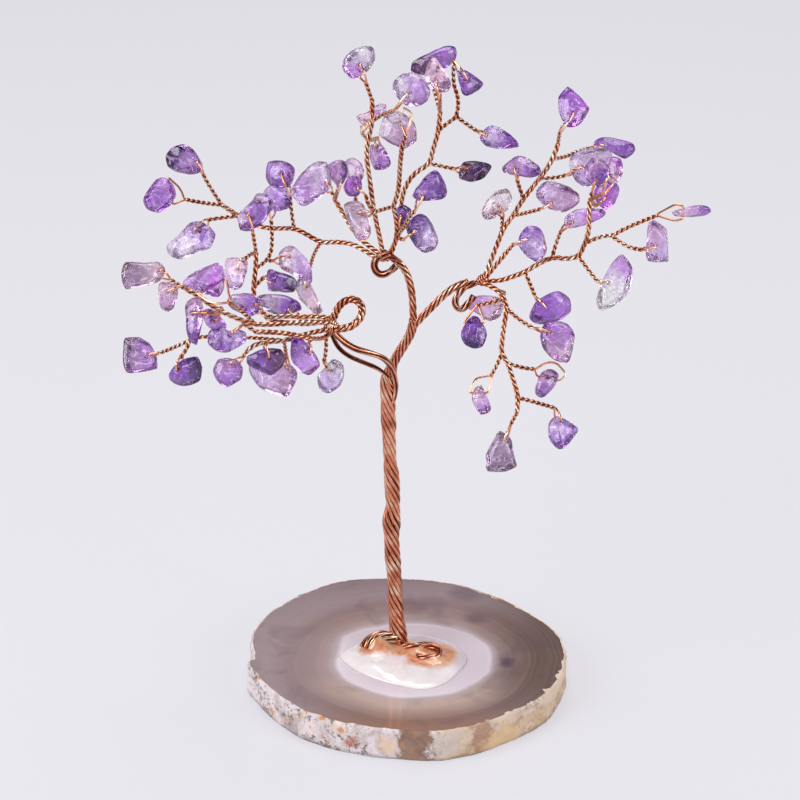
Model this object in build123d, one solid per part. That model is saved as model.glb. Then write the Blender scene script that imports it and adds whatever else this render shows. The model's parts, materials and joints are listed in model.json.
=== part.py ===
from build123d import *
import math
import os

# Gemstone tree ornament: a copper wire tree with drilled amethyst chips, glued to a slice of agate.
# Millimetres, +Z up, origin at the middle of the slice's underside, viewer on the -Y side.

# Driving sizes of the slice
slice_width = 70.0
slice_depth = 69.0
slice_thickness = 7.2
slice_edge_break = 0.6

# Driving sizes of the crown and of the wire
crown_width = 126.0
wire_diameter = 0.4
crown_share = crown_width / 126.0

# The twists, ropes and ties keep to the crown
twig_diameter = 0.72 * crown_share
stem_diameter = 0.84 * crown_share
trunk_diameter = 3.4 * crown_share
fork_rope_diameter = 2.0 * crown_share
middle_rope_diameter = 1.5 * crown_share
right_rope_diameter = 1.5 * crown_share
left_bundle_diameter = 1.35 * crown_share
left_pair_diameter = 0.85 * crown_share
ring_rope_diameter = 1.6 * crown_share
tie_diameter = 3.5 * crown_share
small_tie_diameter = 2.7 * crown_share

# Driving sizes of the chips
chip_thickness = 3.0
hole_diameter = 1.0
wire_clearance = 0.3

# The foot and its glue keep to the crown too
glue_width = 28.0 * crown_share
glue_depth = 14.5 * crown_share
glue_height = 2.3 * crown_share
root_diameter = 2.6 * crown_share
coil_diameter = 1.5 * crown_share
coil_width = 7.0 * crown_share
coil_depth = 5.4 * crown_share
foot_x = -1.8
foot_y = 0.6

# The view in which the places below are read: pixels across, pixels down and pixels toward the viewer
view_middle_px = 400
focal_px = 3050
crown_width_px = 591
view_tilt = 25.0
mm_per_px = crown_width / crown_width_px
view_distance = focal_px * mm_per_px
foot_px = (400, 650, 0)

overrun = 2.0 * chip_thickness
wire_radius = wire_diameter / 2
leg_offset = wire_radius + wire_clearance
loop_bend = 0.75 * wire_diameter

right = Vector(1, 0, 0)
up = Vector(0, math.sin(math.radians(view_tilt)), math.cos(math.radians(view_tilt)))
forward = Vector(0, math.cos(math.radians(view_tilt)), -math.sin(math.radians(view_tilt)))
eye_from_target = forward * -view_distance


def view_ray(px, py):
    return forward * focal_px + right * (px - view_middle_px) + up * (view_middle_px - py)


def seen_from_target(px, py, toward_px):
    ray = view_ray(px, py)
    reach = (-toward_px * mm_per_px - eye_from_target.Y) / ray.Y
    return eye_from_target + ray * reach


foot = Vector(foot_x, foot_y, slice_thickness)
view_shift = foot - seen_from_target(*foot_px)
eye = eye_from_target + view_shift


# A point of the tree: where it is seen, and how far toward the viewer it stands
def place(point_px):
    return seen_from_target(*point_px) + view_shift


# Where the sight line through a pixel meets a plane
def on_plane(px, py, origin, normal):
    ray = view_ray(px, py)
    reach = (origin - eye).dot(normal) / ray.dot(normal)
    return eye + ray * reach


# A tube of constant diameter: straight runs joined by the largest arcs that the runs allow
def tube_path(points, least_radius=0.0):
    runs = [(b - a).length for a, b in zip(points, points[1:])]
    kept = [points[0]]
    radii = []
    for i in range(1, len(points) - 1):
        turn = math.radians((points[i] - points[i - 1]).get_angle(points[i + 1] - points[i]))
        if turn < math.radians(1.5):
            continue
        kept.append(points[i])
        reach = 0.45 * min(runs[i - 1], runs[i])
        radii.append(max(least_radius, reach / math.tan(turn / 2)))
    kept.append(points[-1])
    if len(kept) == 2:
        return Wire([Edge.make_line(kept[0], kept[1])])
    return Wire(FilletPolyline(*kept, radius=radii).edges())


def tube(path, diameter):
    section = Plane(origin=path @ 0, z_dir=path % 0) * Circle(diameter / 2)
    return sweep(section, path=path).solid()


# A small closed loop of wire: its corners are all bent round one pin
def bent_wire(points, bend):
    kept = [points[0]]
    radii = []
    for i in range(1, len(points) - 1):
        before = (points[i] - points[i - 1]).length
        after = (points[i + 1] - points[i]).length
        turn = math.radians((points[i] - points[i - 1]).get_angle(points[i + 1] - points[i]))
        kept.append(points[i])
        radii.append(min(bend, 0.45 * min(before, after) / math.tan(turn / 2)))
    kept.append(points[-1])
    path = Wire(FilletPolyline(*kept, radius=radii).edges())
    return tube(path, wire_diameter)


# Chips: an outline as seen, a plane that it lies in, and five shrunken copies that round its faces
belt_shares = [(-0.5, 0.56), (-0.26, 0.92), (0.06, 1.0), (0.32, 0.87), (0.5, 0.56)]


def chip_plane(chip):
    lean = math.radians(chip["lean"][0])
    turn = math.radians(chip["lean"][1])
    normal = forward * (-math.cos(lean) * math.cos(turn))
    normal += up * (math.sin(lean) * math.cos(turn)) + right * math.sin(turn)
    hole = chip["hole"]
    if len(hole) == 4:
        middle = ((hole[0] + hole[2]) / 2, (hole[1] + hole[3]) / 2)
    else:
        middle = hole
    origin = place((middle[0], middle[1], chip["toward"]))
    return origin, normal.normalized()


def chip_outline(chip):
    origin, normal = chip_plane(chip)
    return [on_plane(px, py, origin, normal) for px, py in chip["outline"]]


def chip_solid(chip):
    origin, normal = chip_plane(chip)
    outline = chip_outline(chip)
    middle = sum(outline, Vector(0, 0, 0)) * (1 / len(outline))
    thickness = chip_thickness * chip["thickness_share"]
    rings = []
    for height_share, width_share in belt_shares:
        rise = normal * (height_share * thickness)
        rings.append([middle + (point - middle) * width_share + rise for point in outline])
    faces = [Face(Wire.make_polygon(rings[0], close=True)), Face(Wire.make_polygon(rings[-1], close=True))]
    count = len(outline)
    for low, high in zip(rings, rings[1:]):
        for i in range(count):
            j = (i + 1) % count
            faces.append(Face(Wire.make_polygon([low[i], low[j], high[j], high[i]], close=True)))
    body = Solid(Shell(faces))
    if body.volume < 0:
        body = Solid(Shell([-face for face in faces]))
    start, axis, reach = hole_line(chip)
    drill = Solid.make_cylinder(hole_diameter / 2, 2 * reach, Plane(origin=start - axis * reach, z_dir=axis))
    return body.cut(drill).solid()


# The drilled hole: its middle, its direction and a reach that clears the chip
def hole_line(chip):
    origin, normal = chip_plane(chip)
    hole = chip["hole"]
    if len(hole) == 2:
        return origin, normal, overrun
    first = on_plane(hole[0], hole[1], origin, normal)
    second = on_plane(hole[2], hole[3], origin, normal)
    return origin, (second - first).normalized(), chip_span(chip) + overrun


def chip_span(chip):
    outline = chip_outline(chip)
    return max((a - b).length for a in outline for b in outline)


# How far a line in the chip's own plane runs from a point inside to the outline
def distance_to_rim(chip, start, direction):
    origin, normal = chip_plane(chip)
    outline = chip_outline(chip)
    side = normal.cross(direction)
    best = 0.0
    for a, b in zip(outline, outline[1:] + outline[:1]):
        off_a = (a - start).dot(side)
        off_b = (b - start).dot(side)
        if (off_a < 0) == (off_b < 0):
            continue
        share = off_a / (off_a - off_b)
        best = max(best, ((a + (b - a) * share) - start).dot(direction))
    return best


# The loop of wire that holds a chip, and the point where the two legs meet in the twig
def twig_end(chip):
    origin, normal = chip_plane(chip)
    joint = on_plane(chip["meet"][0], chip["meet"][1], origin, normal)
    if "lift_share" in chip:
        joint += normal * (chip["lift_share"] * (chip_thickness * chip["thickness_share"] / 2 + leg_offset))
    return joint


def chip_loop(chip, arriving):
    origin, normal = chip_plane(chip)
    half = chip_thickness * chip["thickness_share"] / 2
    joint = twig_end(chip)
    root = joint + (arriving - joint).normalized() * wire_diameter
    beside = normal * wire_radius
    if "legs" in chip:
        points = [root + beside]
        for px, py, side in chip["legs"]:
            points.append(on_plane(px, py, origin, normal) + normal * (side * (half + leg_offset)))
        points.append(root - beside)
        return bent_wire(points, loop_bend)
    if len(chip["hole"]) == 4:
        middle, axis, reach = hole_line(chip)
        beside = axis * wire_radius
        first = middle - axis * (distance_to_rim(chip, middle, axis * -1) + leg_offset)
        second = middle + axis * (distance_to_rim(chip, middle, axis) + leg_offset)
        out = [on_plane(px, py, origin, normal) for px, py in chip.get("out", [])]
        back = [on_plane(px, py, origin, normal) for px, py in chip.get("back", [])]
        return bent_wire([root - beside] + out + [first, second] + back + [root + beside], loop_bend)
    toward_joint = (joint - origin).normalized()
    rim = distance_to_rim(chip, origin, toward_joint)
    reach = min(rim + wire_clearance, 0.8 * (joint - origin).length)
    rise = half + leg_offset
    points = [root + beside]
    points.append(origin + toward_joint * reach + normal * rise)
    points.append(origin + normal * rise)
    points.append(origin - normal * rise)
    points.append(origin + toward_joint * reach - normal * rise)
    points.append(root - beside)
    return bent_wire(points, loop_bend)


# Sprays: named points, the stems that run through them, and the chips at the twigs' ends.
# A chip's twig names the points that it follows before it meets its loop.
sprays = {
    "left_high_spray": {
        "points": {
            "a": (330, 320, 22), "b": (312, 325, 18), "c": (290, 323, 8), "d": (268, 321, 0),
            "e": (255, 303, -10), "f": (253, 288, -16), "g": (256, 268, -24), "h": (256, 252, -30),
            "k": (269, 261, -34), "m": (273, 241, -44), "n": (249, 254, -18),
        },
        "stems": ["a b c d e f g h"],
    },
    "left_outer_spray": {
        "points": {
            "a": (330, 323, 33), "b": (308, 321, 44), "c": (284, 324, 53), "d": (256, 325, 58),
            "e": (240, 320, 60), "f": (222, 312, 58), "g": (209, 304, 55), "h": (196, 294, 53),
            "k": (187, 290, 51), "m": (246, 315, 66), "n": (234, 305, 72),
        },
        "stems": ["a b c d e f g h k"],
    },
    "left_low_spray": {
        "points": {
            "a": (330, 329, 35), "b": (314, 332, 43), "c": (299, 336, 50), "d": (284, 341, 56),
            "e": (268, 342, 60), "f": (255, 344, 60), "g": (248, 350, 60), "h": (248, 337, 46),
            "k": (226, 338, 38), "m": (204, 336, 34), "n": (190, 340, 33), "p": (176, 347, 31),
            "r": (187, 350, 38),
        },
        "stems": ["a b c d e f g"],
    },
    "left_near_spray": {
        "points": {
            "a": (330, 318, 30), "b": (318, 316, 28), "c": (306, 317, 24), "d": (288, 316, 24),
            "e": (270, 317, 24),
        },
        "stems": ["a b c d e"],
    },
    "left_under_spray": {
        "points": {
            "a": (332, 331, 27), "b": (326, 338, 36), "c": (312, 339, 58), "d": (296, 335, 68),
            "e": (276, 332, 76), "f": (256, 332, 82), "g": (327, 352, 42),
        },
        "stems": ["a b c d e f"],
    },
    "middle_far_left_spray": {
        "points": {
            "a": (378, 259, -14), "b": (364, 250, -22), "c": (350, 243, -28), "d": (335, 242, -34),
            "e": (321, 243, -40), "f": (306, 234, -48), "g": (294, 228, -54), "h": (274, 229, -62),
            "k": (256, 226, -68), "m": (238, 216, -72), "n": (222, 205, -74), "p": (209, 187, -76),
            "r": (201, 203, -66), "s": (218, 218, -64), "t": (291, 211, -66), "u": (312, 254, -48),
        },
        "stems": ["a b c d e f g h k m n"],
    },
    "middle_near_left_spray": {
        "points": {
            "a": (381, 255, -17), "b": (364, 243, -32), "c": (352, 229, -44), "d": (343, 213, -52),
            "e": (335, 200, -56),
        },
        "stems": ["a b c d e"],
    },
    "middle_tall_spray": {
        "points": {
            "a": (383, 254, -10), "b": (379, 234, -8), "c": (374, 212, -8), "d": (370, 182, -12),
            "e": (366, 156, -16), "f": (368, 140, -18), "g": (373, 121, -20), "h": (372, 100, -22),
            "k": (386, 112, -12), "m": (367, 205, 2),
        },
        "stems": ["a b c d e f g h"],
    },
    "middle_right_spray": {
        "points": {
            "a": (390, 256, -12), "b": (398, 238, -10), "c": (396, 216, -8), "d": (393, 206, -6),
            "e": (399, 190, -4), "f": (400, 165, 4), "g": (402, 148, 14), "h": (404, 228, 6),
            "k": (409, 217, 16), "m": (380, 210, 6),
        },
        "stems": ["a b c d e f g"],
    },
    "middle_top_spray": {
        "points": {
            "a": (387, 257, -17), "b": (401, 236, -29), "c": (400, 206, -34), "d": (406, 184, -34),
            "e": (416, 172, -34), "f": (430, 164, -34), "g": (433, 149, -36), "h": (439, 131, -38),
            "k": (440, 112, -40), "m": (449, 122, -38), "n": (457, 117, -38), "p": (459, 98, -40),
            "q": (452, 82, -42),
            "r": (469, 126, -38), "s": (444, 167, -32), "t": (436, 98, -54),
        },
        "stems": ["a b c d e f g h k"],
    },
    "right_high_spray": {
        "points": {
            "a": (484, 279, 4), "b": (492, 258, -2), "c": (499, 240, -8), "d": (504, 227, -14),
            "e": (513, 216, -20), "f": (523, 199, -28), "g": (540, 178, -38), "h": (553, 160, -46),
            "k": (558, 144, -50), "m": (503, 228, -24), "n": (520, 189, -31), "p": (528, 213, -6),
            "r": (553, 179, -38), "s": (566, 157, -62), "t": (580, 150, -76),
        },
        "stems": ["a b c d e f g h k"],
    },
    "right_single_spray": {
        "points": {
            "a": (486, 277, 12), "b": (495, 266, 16), "c": (506, 253, 18),
        },
        "stems": ["a b c"],
    },
    "right_wide_spray": {
        "points": {
            "a": (486, 281, 8), "b": (500, 281, 12), "c": (512, 277, 16), "d": (525, 272, 18),
            "e": (538, 264, 18), "f": (552, 257, 16), "g": (566, 259, 18), "h": (579, 257, 20),
            "k": (585, 244, 24), "m": (589, 231, 26), "n": (589, 213, 25), "p": (600, 236, 25),
            "r": (612, 236, 22), "s": (624, 229, 18), "t": (640, 222, 14), "u": (622, 244, 26),
            "v": (634, 249, 28), "w": (588, 270, 28), "x": (530, 283, 24), "y": (556, 243, 10),
            "z": (590, 200, 20),
        },
        "stems": ["a b c d e f g h k m n z"],
    },
    "right_hanging_spray": {
        "points": {
            "a": (484, 283, 14), "b": (497, 289, 22), "c": (504, 298, 27), "d": (507, 308, 31),
            "e": (504, 326, 35), "f": (502, 342, 39), "g": (501, 353, 42), "h": (508, 363, 44),
            "k": (513, 380, 49), "m": (519, 398, 54), "n": (517, 413, 60), "p": (492, 303, 33),
            "r": (519, 321, 36), "s": (497, 366, 48), "t": (524, 369, 44), "u": (536, 402, 53),
        },
        "stems": ["a b c d e f g h k m n"],
    },
}

# Chips that are gripped share a node with their neighbours; a loose chip has a node of its own
chips = [
    dict(node="left_high_chips", spray="left_high_spray", twig="h", meet=(253, 233), hole=(246, 213),
         toward=-28, lean=(-12, 14), thickness_share=1.05,
         outline=[(238, 215), (250, 203), (258, 193), (268, 195), (273, 205), (265, 221), (250, 231),
                  (240, 230)]),
    dict(node="left_high_chips", spray="left_high_spray", twig="g k m", meet=(271, 219), hole=(273, 204),
         toward=-57, lean=(18, -16), thickness_share=0.95,
         outline=[(262, 193), (268, 187), (277, 186), (285, 189), (291, 199), (289, 207), (277, 211),
                  (266, 209)]),
    dict(node="left_high_chips", spray="left_high_spray", twig="h n", meet=(245, 259), hole=(240, 271),
         toward=-6, lean=(16, -20), thickness_share=0.9,
         outline=[(226, 260), (239, 258), (248, 264), (245, 276), (241, 288), (231, 290), (225, 282)]),
    dict(node="left_high_chips", spray="left_high_spray", twig="k", meet=(274, 261), hole=(289, 259),
         toward=-36, lean=(22, 10), thickness_share=1.0,
         outline=[(279, 252), (285, 245), (295, 248), (307, 260), (312, 272), (311, 283), (293, 274),
                  (280, 267)]),
    dict(node="left_high_chips", spray="left_high_spray", twig="f", meet=(264, 277), hole=(273, 280),
         toward=-12, lean=(-20, -14), thickness_share=0.95,
         outline=[(267, 270), (280, 273), (293, 277), (297, 284), (294, 292), (282, 292), (269, 291)]),
    dict(node="left_outer_chips", spray="left_outer_spray", twig="k", meet=(171, 280), hole=(158, 272),
         toward=49, lean=(14, 18), thickness_share=0.95,
         outline=[(124, 263), (144, 263), (160, 262), (166, 271), (160, 281), (146, 286), (126, 289),
                  (121, 284)]),
    dict(node="left_pink_drop_chip", spray="left_outer_spray", twig="k", meet=(186, 283), hole=(170, 291),
         toward=58, lean=(-10, -22), thickness_share=0.85, loose=True,
         outline=[(160, 283), (168, 281), (177, 283), (178, 293), (174, 307), (168, 312), (161, 307),
                  (159, 294)]),
    dict(node="left_outer_chips", spray="left_outer_spray", twig="d m n", meet=(229, 302),
         hole=(207, 288, 222, 281), out=[(218, 304), (207, 301)], toward=76, lean=(20, -12),
         thickness_share=1.05,
         outline=[(183, 284), (194, 273), (207, 266), (219, 263), (224, 271), (224, 288), (217, 298),
                  (203, 294)]),
    dict(node="left_outer_chips", spray="left_outer_spray", twig="f", meet=(207, 314), hole=(196, 314),
         toward=78, lean=(8, -30), thickness_share=0.85,
         outline=[(186, 299), (194, 296), (202, 301), (202, 321), (198, 341), (193, 349), (188, 334),
                  (187, 315)]),
    dict(node="left_outer_chips", spray="left_outer_spray", twig="f", meet=(221, 308), hole=(213, 320),
         toward=36, lean=(-18, 20), thickness_share=0.8,
         outline=[(203, 309), (213, 310), (222, 318), (227, 327), (218, 331), (208, 327), (203, 318)]),
    dict(node="left_low_corner_chip", spray="left_low_spray", twig="d h k m n p", meet=(161, 353),
         hole=(147, 356), toward=29, lean=(10, 20), thickness_share=0.95, loose=True,
         outline=[(123, 341), (132, 334), (144, 336), (152, 347), (160, 364), (157, 369), (142, 372),
                  (126, 373), (122, 362)]),
    dict(node="left_low_chips", spray="left_low_spray", twig="n r", meet=(180, 358), hole=(180, 368),
         toward=44, lean=(-16, -18), thickness_share=1.05,
         outline=[(176, 364), (186, 358), (199, 357), (202, 366), (199, 382), (183, 386), (173, 383),
                  (169, 374)]),
    dict(node="left_low_round_chip", spray="left_low_spray", twig="g", meet=(243, 357), hole=(232, 365),
         toward=60, lean=(12, -12), thickness_share=0.85, loose=True,
         outline=[(218, 360), (229, 358), (239, 361), (243, 368), (241, 379), (227, 387), (218, 382),
                  (213, 372)]),
    dict(node="left_low_chips", spray="left_low_spray", twig="e", meet=(265, 343), hole=(267, 356),
         toward=84, lean=(-14, 16), thickness_share=0.95,
         outline=[(246, 357), (257, 351), (270, 348), (281, 349), (286, 358), (281, 369), (272, 376),
                  (257, 370), (246, 364)]),
    dict(node="left_low_chips", spray="left_low_spray", twig="d", meet=(287, 358), hole=(289, 370),
         toward=50, lean=(16, -10), thickness_share=1.1,
         outline=[(246, 365), (262, 366), (278, 367), (290, 364), (299, 375), (296, 389), (292, 397),
                  (276, 395), (260, 388), (250, 375)]),
    dict(node="left_near_chips", spray="left_near_spray", twig="e", meet=(262, 312), hole=(253, 307),
         toward=22, lean=(20, 16), thickness_share=0.9,
         outline=[(229, 297), (238, 293), (250, 293), (258, 300), (259, 312), (250, 317), (236, 311),
                  (227, 305)]),
    dict(node="left_near_chips", spray="left_near_spray", twig="c", meet=(299, 318), hole=(290, 307),
         toward=9, lean=(-16, -10), thickness_share=0.95,
         outline=[(257, 296), (272, 294), (287, 296), (299, 302), (304, 310), (294, 313), (282, 316),
                  (268, 312), (259, 305)]),
    dict(node="left_near_chips", spray="left_under_spray", twig="f", meet=(244, 324), hole=(230, 335),
         toward=90, lean=(14, 14), thickness_share=1.0,
         outline=[(209, 331), (219, 326), (228, 331), (241, 330), (249, 336), (244, 343), (229, 352),
                  (217, 351), (208, 343)]),
    dict(node="left_near_chips", spray="left_under_spray", twig="c", meet=(309, 343), hole=(307, 352),
         toward=60, lean=(-12, 20), thickness_share=1.0,
         outline=[(290, 338), (300, 337), (311, 348), (318, 359), (320, 368), (311, 376), (299, 371),
                  (291, 358)]),
    dict(node="left_clear_hanging_chip", spray="left_under_spray", twig="b g", meet=(324, 361),
         hole=(330, 371), toward=44, lean=(8, -14), thickness_share=0.85, loose=True,
         outline=[(325, 367), (334, 358), (344, 363), (345, 376), (340, 388), (328, 395), (318, 390),
                  (317, 377)]),
    dict(node="middle_left_chips", spray="middle_far_left_spray", twig="n p", meet=(203, 174),
         hole=(195, 161), toward=-78, lean=(-10, 18), thickness_share=1.0,
         outline=[(173, 147), (184, 144), (193, 149), (202, 163), (202, 171), (192, 175), (177, 172),
                  (167, 166), (166, 155)]),
    dict(node="left_top_outer_chip", spray="middle_far_left_spray", twig="n r", meet=(184, 199),
         hole=(169, 183, 172, 200), out=[(180, 188)], toward=-58, lean=(8, 12), thickness_share=1.05,
         loose=True,
         outline=[(156, 179), (167, 178), (174, 186), (176, 196), (171, 205), (159, 213), (147, 209),
                  (143, 200), (149, 187)]),
    dict(node="left_long_pale_chip", spray="middle_far_left_spray", twig="m s", meet=(208, 220),
         hole=(197, 233), toward=-58, lean=(16, -14), thickness_share=0.9, loose=True,
         outline=[(190, 223), (201, 221), (211, 227), (217, 237), (215, 246), (197, 252), (181, 259),
                  (168, 257), (167, 246), (181, 233)]),
    dict(node="middle_left_chips", spray="middle_far_left_spray", twig="g t", meet=(290, 194),
         hole=(284, 175), toward=-82, lean=(10, -16), thickness_share=1.0,
         outline=[(268, 161), (287, 162), (295, 169), (293, 180), (287, 188), (272, 188), (266, 178)]),
    dict(node="middle_left_chips", spray="middle_far_left_spray", twig="e u", meet=(309, 274),
         hole=(307, 287), toward=-66, lean=(-14, -20), thickness_share=0.8,
         outline=[(296, 281), (304, 277), (312, 287), (319, 301), (323, 314), (313, 314), (303, 303),
                  (296, 294)]),
    dict(node="middle_left_chips", spray="middle_near_left_spray", twig="e", meet=(332, 192),
         hole=(324, 185), toward=-62, lean=(14, 16), thickness_share=1.05,
         outline=[(309, 166), (321, 160), (330, 166), (331, 186), (322, 196), (305, 206), (293, 203),
                  (292, 188), (300, 175)]),
    dict(node="middle_left_chips", spray="middle_near_left_spray", twig="e", meet=(338, 190),
         hole=(340, 181), toward=-38, lean=(-18, 8), thickness_share=0.9,
         outline=[(328, 165), (337, 160), (346, 162), (348, 172), (344, 182), (338, 187), (331, 178)]),
    dict(node="middle_left_chips", spray="middle_near_left_spray", twig="c", meet=(356, 196),
         hole=(355, 180), toward=-66, lean=(12, -18), thickness_share=0.8,
         outline=[(346, 160), (355, 158), (363, 166), (364, 177), (357, 184), (348, 180), (344, 170)]),
    dict(node="middle_top_chip", spray="middle_tall_spray", twig="h", meet=(366, 83), hole=(358, 66),
         toward=-26, lean=(10, 14), thickness_share=0.95, loose=True,
         outline=[(344, 59), (352, 50), (365, 46), (374, 47), (375, 61), (368, 71), (356, 79), (347, 76),
                  (342, 68)]),
    dict(node="middle_round_chip", spray="middle_tall_spray", twig="g k", meet=(394, 111),
         hole=(409, 93), toward=2, lean=(-12, -12), thickness_share=1.05, loose=True,
         outline=[(392, 84), (400, 75), (411, 72), (422, 77), (430, 89), (428, 100), (418, 107),
                  (405, 106), (396, 98)]),
    dict(node="middle_tall_chips", spray="middle_tall_spray", twig="f", meet=(362, 133), hole=(366, 121),
         toward=-44, lean=(-10, 20), thickness_share=0.8,
         outline=[(357, 116), (368, 112), (378, 104), (386, 104), (385, 112), (376, 121), (366, 128),
                  (359, 124)]),
    dict(node="middle_tall_chips", spray="middle_tall_spray", twig="f", meet=(378, 138), hole=(378, 149),
         toward=-36, lean=(16, -18), thickness_share=0.9,
         outline=[(371, 144), (380, 143), (388, 153), (391, 163), (385, 170), (375, 170), (370, 158)]),
    dict(node="middle_tall_chips", spray="middle_tall_spray", twig="c m", meet=(366, 195),
         hole=(356, 187), toward=0, lean=(-14, 12), thickness_share=0.85,
         outline=[(343, 187), (349, 177), (360, 177), (362, 187), (358, 196), (348, 196)]),
    dict(node="middle_pink_drop_chip", spray="middle_right_spray", twig="d m", meet=(371, 213),
         hole=(361, 215), toward=15, lean=(12, -14), thickness_share=0.95, loose=True,
         outline=[(344, 205), (355, 200), (364, 205), (369, 219), (371, 233), (366, 241), (357, 239),
                  (349, 225)]),
    dict(node="middle_right_chips", spray="middle_right_spray", twig="g", meet=(403, 135),
         hole=(400, 125), toward=-10, lean=(-8, 10), thickness_share=1.0,
         legs=[(400, 125, 1.0), (400, 125, -1.0), (405, 108, -0.9), (410, 112, 0.9), (408, 124, 1.1)],
         lift_share=1.35,
         outline=[(384, 117), (395, 110), (406, 115), (416, 125), (417, 141), (408, 150), (391, 144),
                  (378, 133)]),
    dict(node="middle_triangle_chip", spray="middle_right_spray", twig="b h k", meet=(415, 211),
         hole=(421, 195), toward=14, lean=(-10, 12), thickness_share=1.0, loose=True,
         outline=[(411, 200), (417, 187), (428, 174), (436, 170), (442, 177), (448, 192), (442, 199),
                  (425, 201)]),
    dict(node="middle_right_chips", spray="middle_right_spray", twig="b", meet=(401, 231),
         hole=(404, 217), toward=-16, lean=(10, -24), thickness_share=0.8,
         outline=[(397, 209), (404, 205), (411, 209), (410, 217), (403, 225), (397, 221)]),
    dict(node="middle_right_chips", spray="middle_right_spray", twig="b", meet=(404, 240),
         hole=(413, 232), toward=-9, lean=(12, 18), thickness_share=1.0,
         outline=[(405, 229), (413, 217), (422, 213), (432, 223), (438, 242), (434, 250), (424, 253),
                  (412, 243)]),
    dict(node="middle_right_chips", spray="middle_top_spray", twig="k t", meet=(433, 84), hole=(431, 72),
         toward=-68, lean=(-16, 14), thickness_share=0.95,
         outline=[(410, 63), (427, 54), (446, 46), (456, 47), (456, 58), (446, 69), (431, 76),
                  (411, 72)]),
    dict(node="middle_right_chips", spray="middle_top_spray", twig="k", meet=(440, 99), hole=(438, 84),
         toward=-27, lean=(14, -12), thickness_share=0.95,
         outline=[(434, 57), (442, 67), (451, 83), (447, 92), (436, 91), (425, 81), (426, 70)]),
    dict(node="middle_diamond_chip", spray="middle_top_spray", twig="h m n p q", meet=(454, 61),
         hole=(465, 80), toward=-42, lean=(-8, 18), thickness_share=0.9, loose=True,
         outline=[(457, 71), (464, 69), (476, 77), (484, 84), (478, 91), (467, 96), (462, 93),
                  (459, 82)]),
    dict(node="middle_wing_chip", spray="middle_top_spray", twig="n r", meet=(477, 131),
         hole=(488, 135), toward=-38, lean=(-12, -10), thickness_share=0.9, loose=True,
         outline=[(478, 136), (487, 127), (494, 125), (506, 131), (517, 141), (518, 148), (502, 149),
                  (486, 146)]),
    dict(node="middle_indigo_chip", spray="middle_top_spray", twig="f s", meet=(455, 169),
         hole=(466, 171), toward=-30, lean=(14, 14), thickness_share=0.9, loose=True,
         outline=[(462, 163), (475, 161), (489, 164), (492, 168), (484, 178), (471, 182), (459, 178)]),
    dict(node="right_high_chips", spray="right_high_spray", twig="f n", meet=(517, 179), hole=(516, 169),
         toward=-33, lean=(10, -12), thickness_share=0.9,
         outline=[(499, 171), (508, 162), (517, 156), (529, 158), (539, 166), (541, 175), (531, 178),
                  (513, 175)]),
    dict(node="right_high_chips", spray="right_high_spray", twig="c m", meet=(502, 217), hole=(497, 206),
         toward=-34, lean=(-14, 20), thickness_share=1.05,
         outline=[(488, 200), (499, 189), (508, 188), (512, 197), (509, 208), (499, 215), (486, 221),
                  (482, 212)]),
    dict(node="right_top_chip", spray="right_high_spray", twig="k", meet=(560, 132),
         hole=(571, 115), toward=-52, lean=(8, 16), thickness_share=1.0, loose=True,
         outline=[(559, 94), (566, 86), (574, 92), (584, 102), (589, 110), (581, 123), (572, 131),
                  (564, 123), (559, 111)]),
    dict(node="right_high_chips", spray="right_high_spray", twig="h s t", meet=(588, 148),
         hole=(605, 144), toward=-84, lean=(-10, -14), thickness_share=0.95,
         outline=[(592, 142), (602, 137), (618, 139), (633, 143), (635, 151), (625, 159), (611, 152),
                  (597, 148)]),
    dict(node="right_high_chips", spray="right_high_spray", twig="g r", meet=(567, 175), hole=(580, 169),
         toward=-40, lean=(12, 12), thickness_share=1.05,
         outline=[(567, 160), (580, 150), (598, 145), (611, 153), (612, 169), (602, 182), (586, 187),
                  (573, 178)]),
    dict(node="right_high_chips", spray="right_high_spray", twig="e p", meet=(541, 209), hole=(553, 202),
         toward=2, lean=(-12, -10), thickness_share=0.95,
         outline=[(536, 190), (546, 181), (563, 183), (578, 191), (579, 203), (565, 212), (549, 209),
                  (538, 202)]),
    dict(node="right_striped_chip", spray="right_single_spray", twig="c", meet=(514, 244),
         hole=(525, 241), toward=20, lean=(10, 16), thickness_share=1.0, loose=True,
         outline=[(520, 233), (527, 225), (538, 225), (544, 232), (549, 250), (541, 264), (528, 258),
                  (518, 245)]),
    dict(node="right_wide_chips", spray="right_wide_spray", twig="z", meet=(592, 192), hole=(596, 180),
         toward=16, lean=(-14, -10), thickness_share=0.85,
         outline=[(583, 170), (592, 157), (603, 160), (614, 173), (608, 183), (596, 187), (586, 180)]),
    dict(node="right_wide_chips", spray="right_wide_spray", twig="z", meet=(596, 206), hole=(603, 200),
         toward=-12, lean=(16, 20), thickness_share=0.95,
         outline=[(594, 191), (602, 182), (613, 180), (620, 190), (615, 203), (606, 210), (597, 202)]),
    dict(node="right_wide_chips", spray="right_wide_spray", twig="z", meet=(603, 194), hole=(612, 178),
         toward=44, lean=(10, -26), thickness_share=0.8,
         outline=[(612, 157), (621, 159), (623, 170), (619, 181), (611, 184), (607, 172)]),
    dict(node="right_wide_chips", spray="right_wide_spray", twig="f y", meet=(561, 231), hole=(571, 221),
         toward=12, lean=(-10, 10), thickness_share=0.85,
         outline=[(564, 219), (575, 210), (592, 208), (609, 210), (603, 217), (584, 226), (567, 228)]),
    dict(node="right_far_tip_chip", spray="right_wide_spray", twig="k p r s t", meet=(658, 215),
         hole=(683, 210, 683, 214), out=[(676, 204)], back=[(675, 221)], toward=10, lean=(8, -14),
         thickness_share=0.9, loose=True,
         outline=[(671, 212), (684, 208), (698, 205), (709, 207), (711, 212), (704, 216), (688, 217),
                  (673, 216)]),
    dict(node="right_far_tall_chip", spray="right_wide_spray", twig="r u v", meet=(643, 250),
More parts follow.
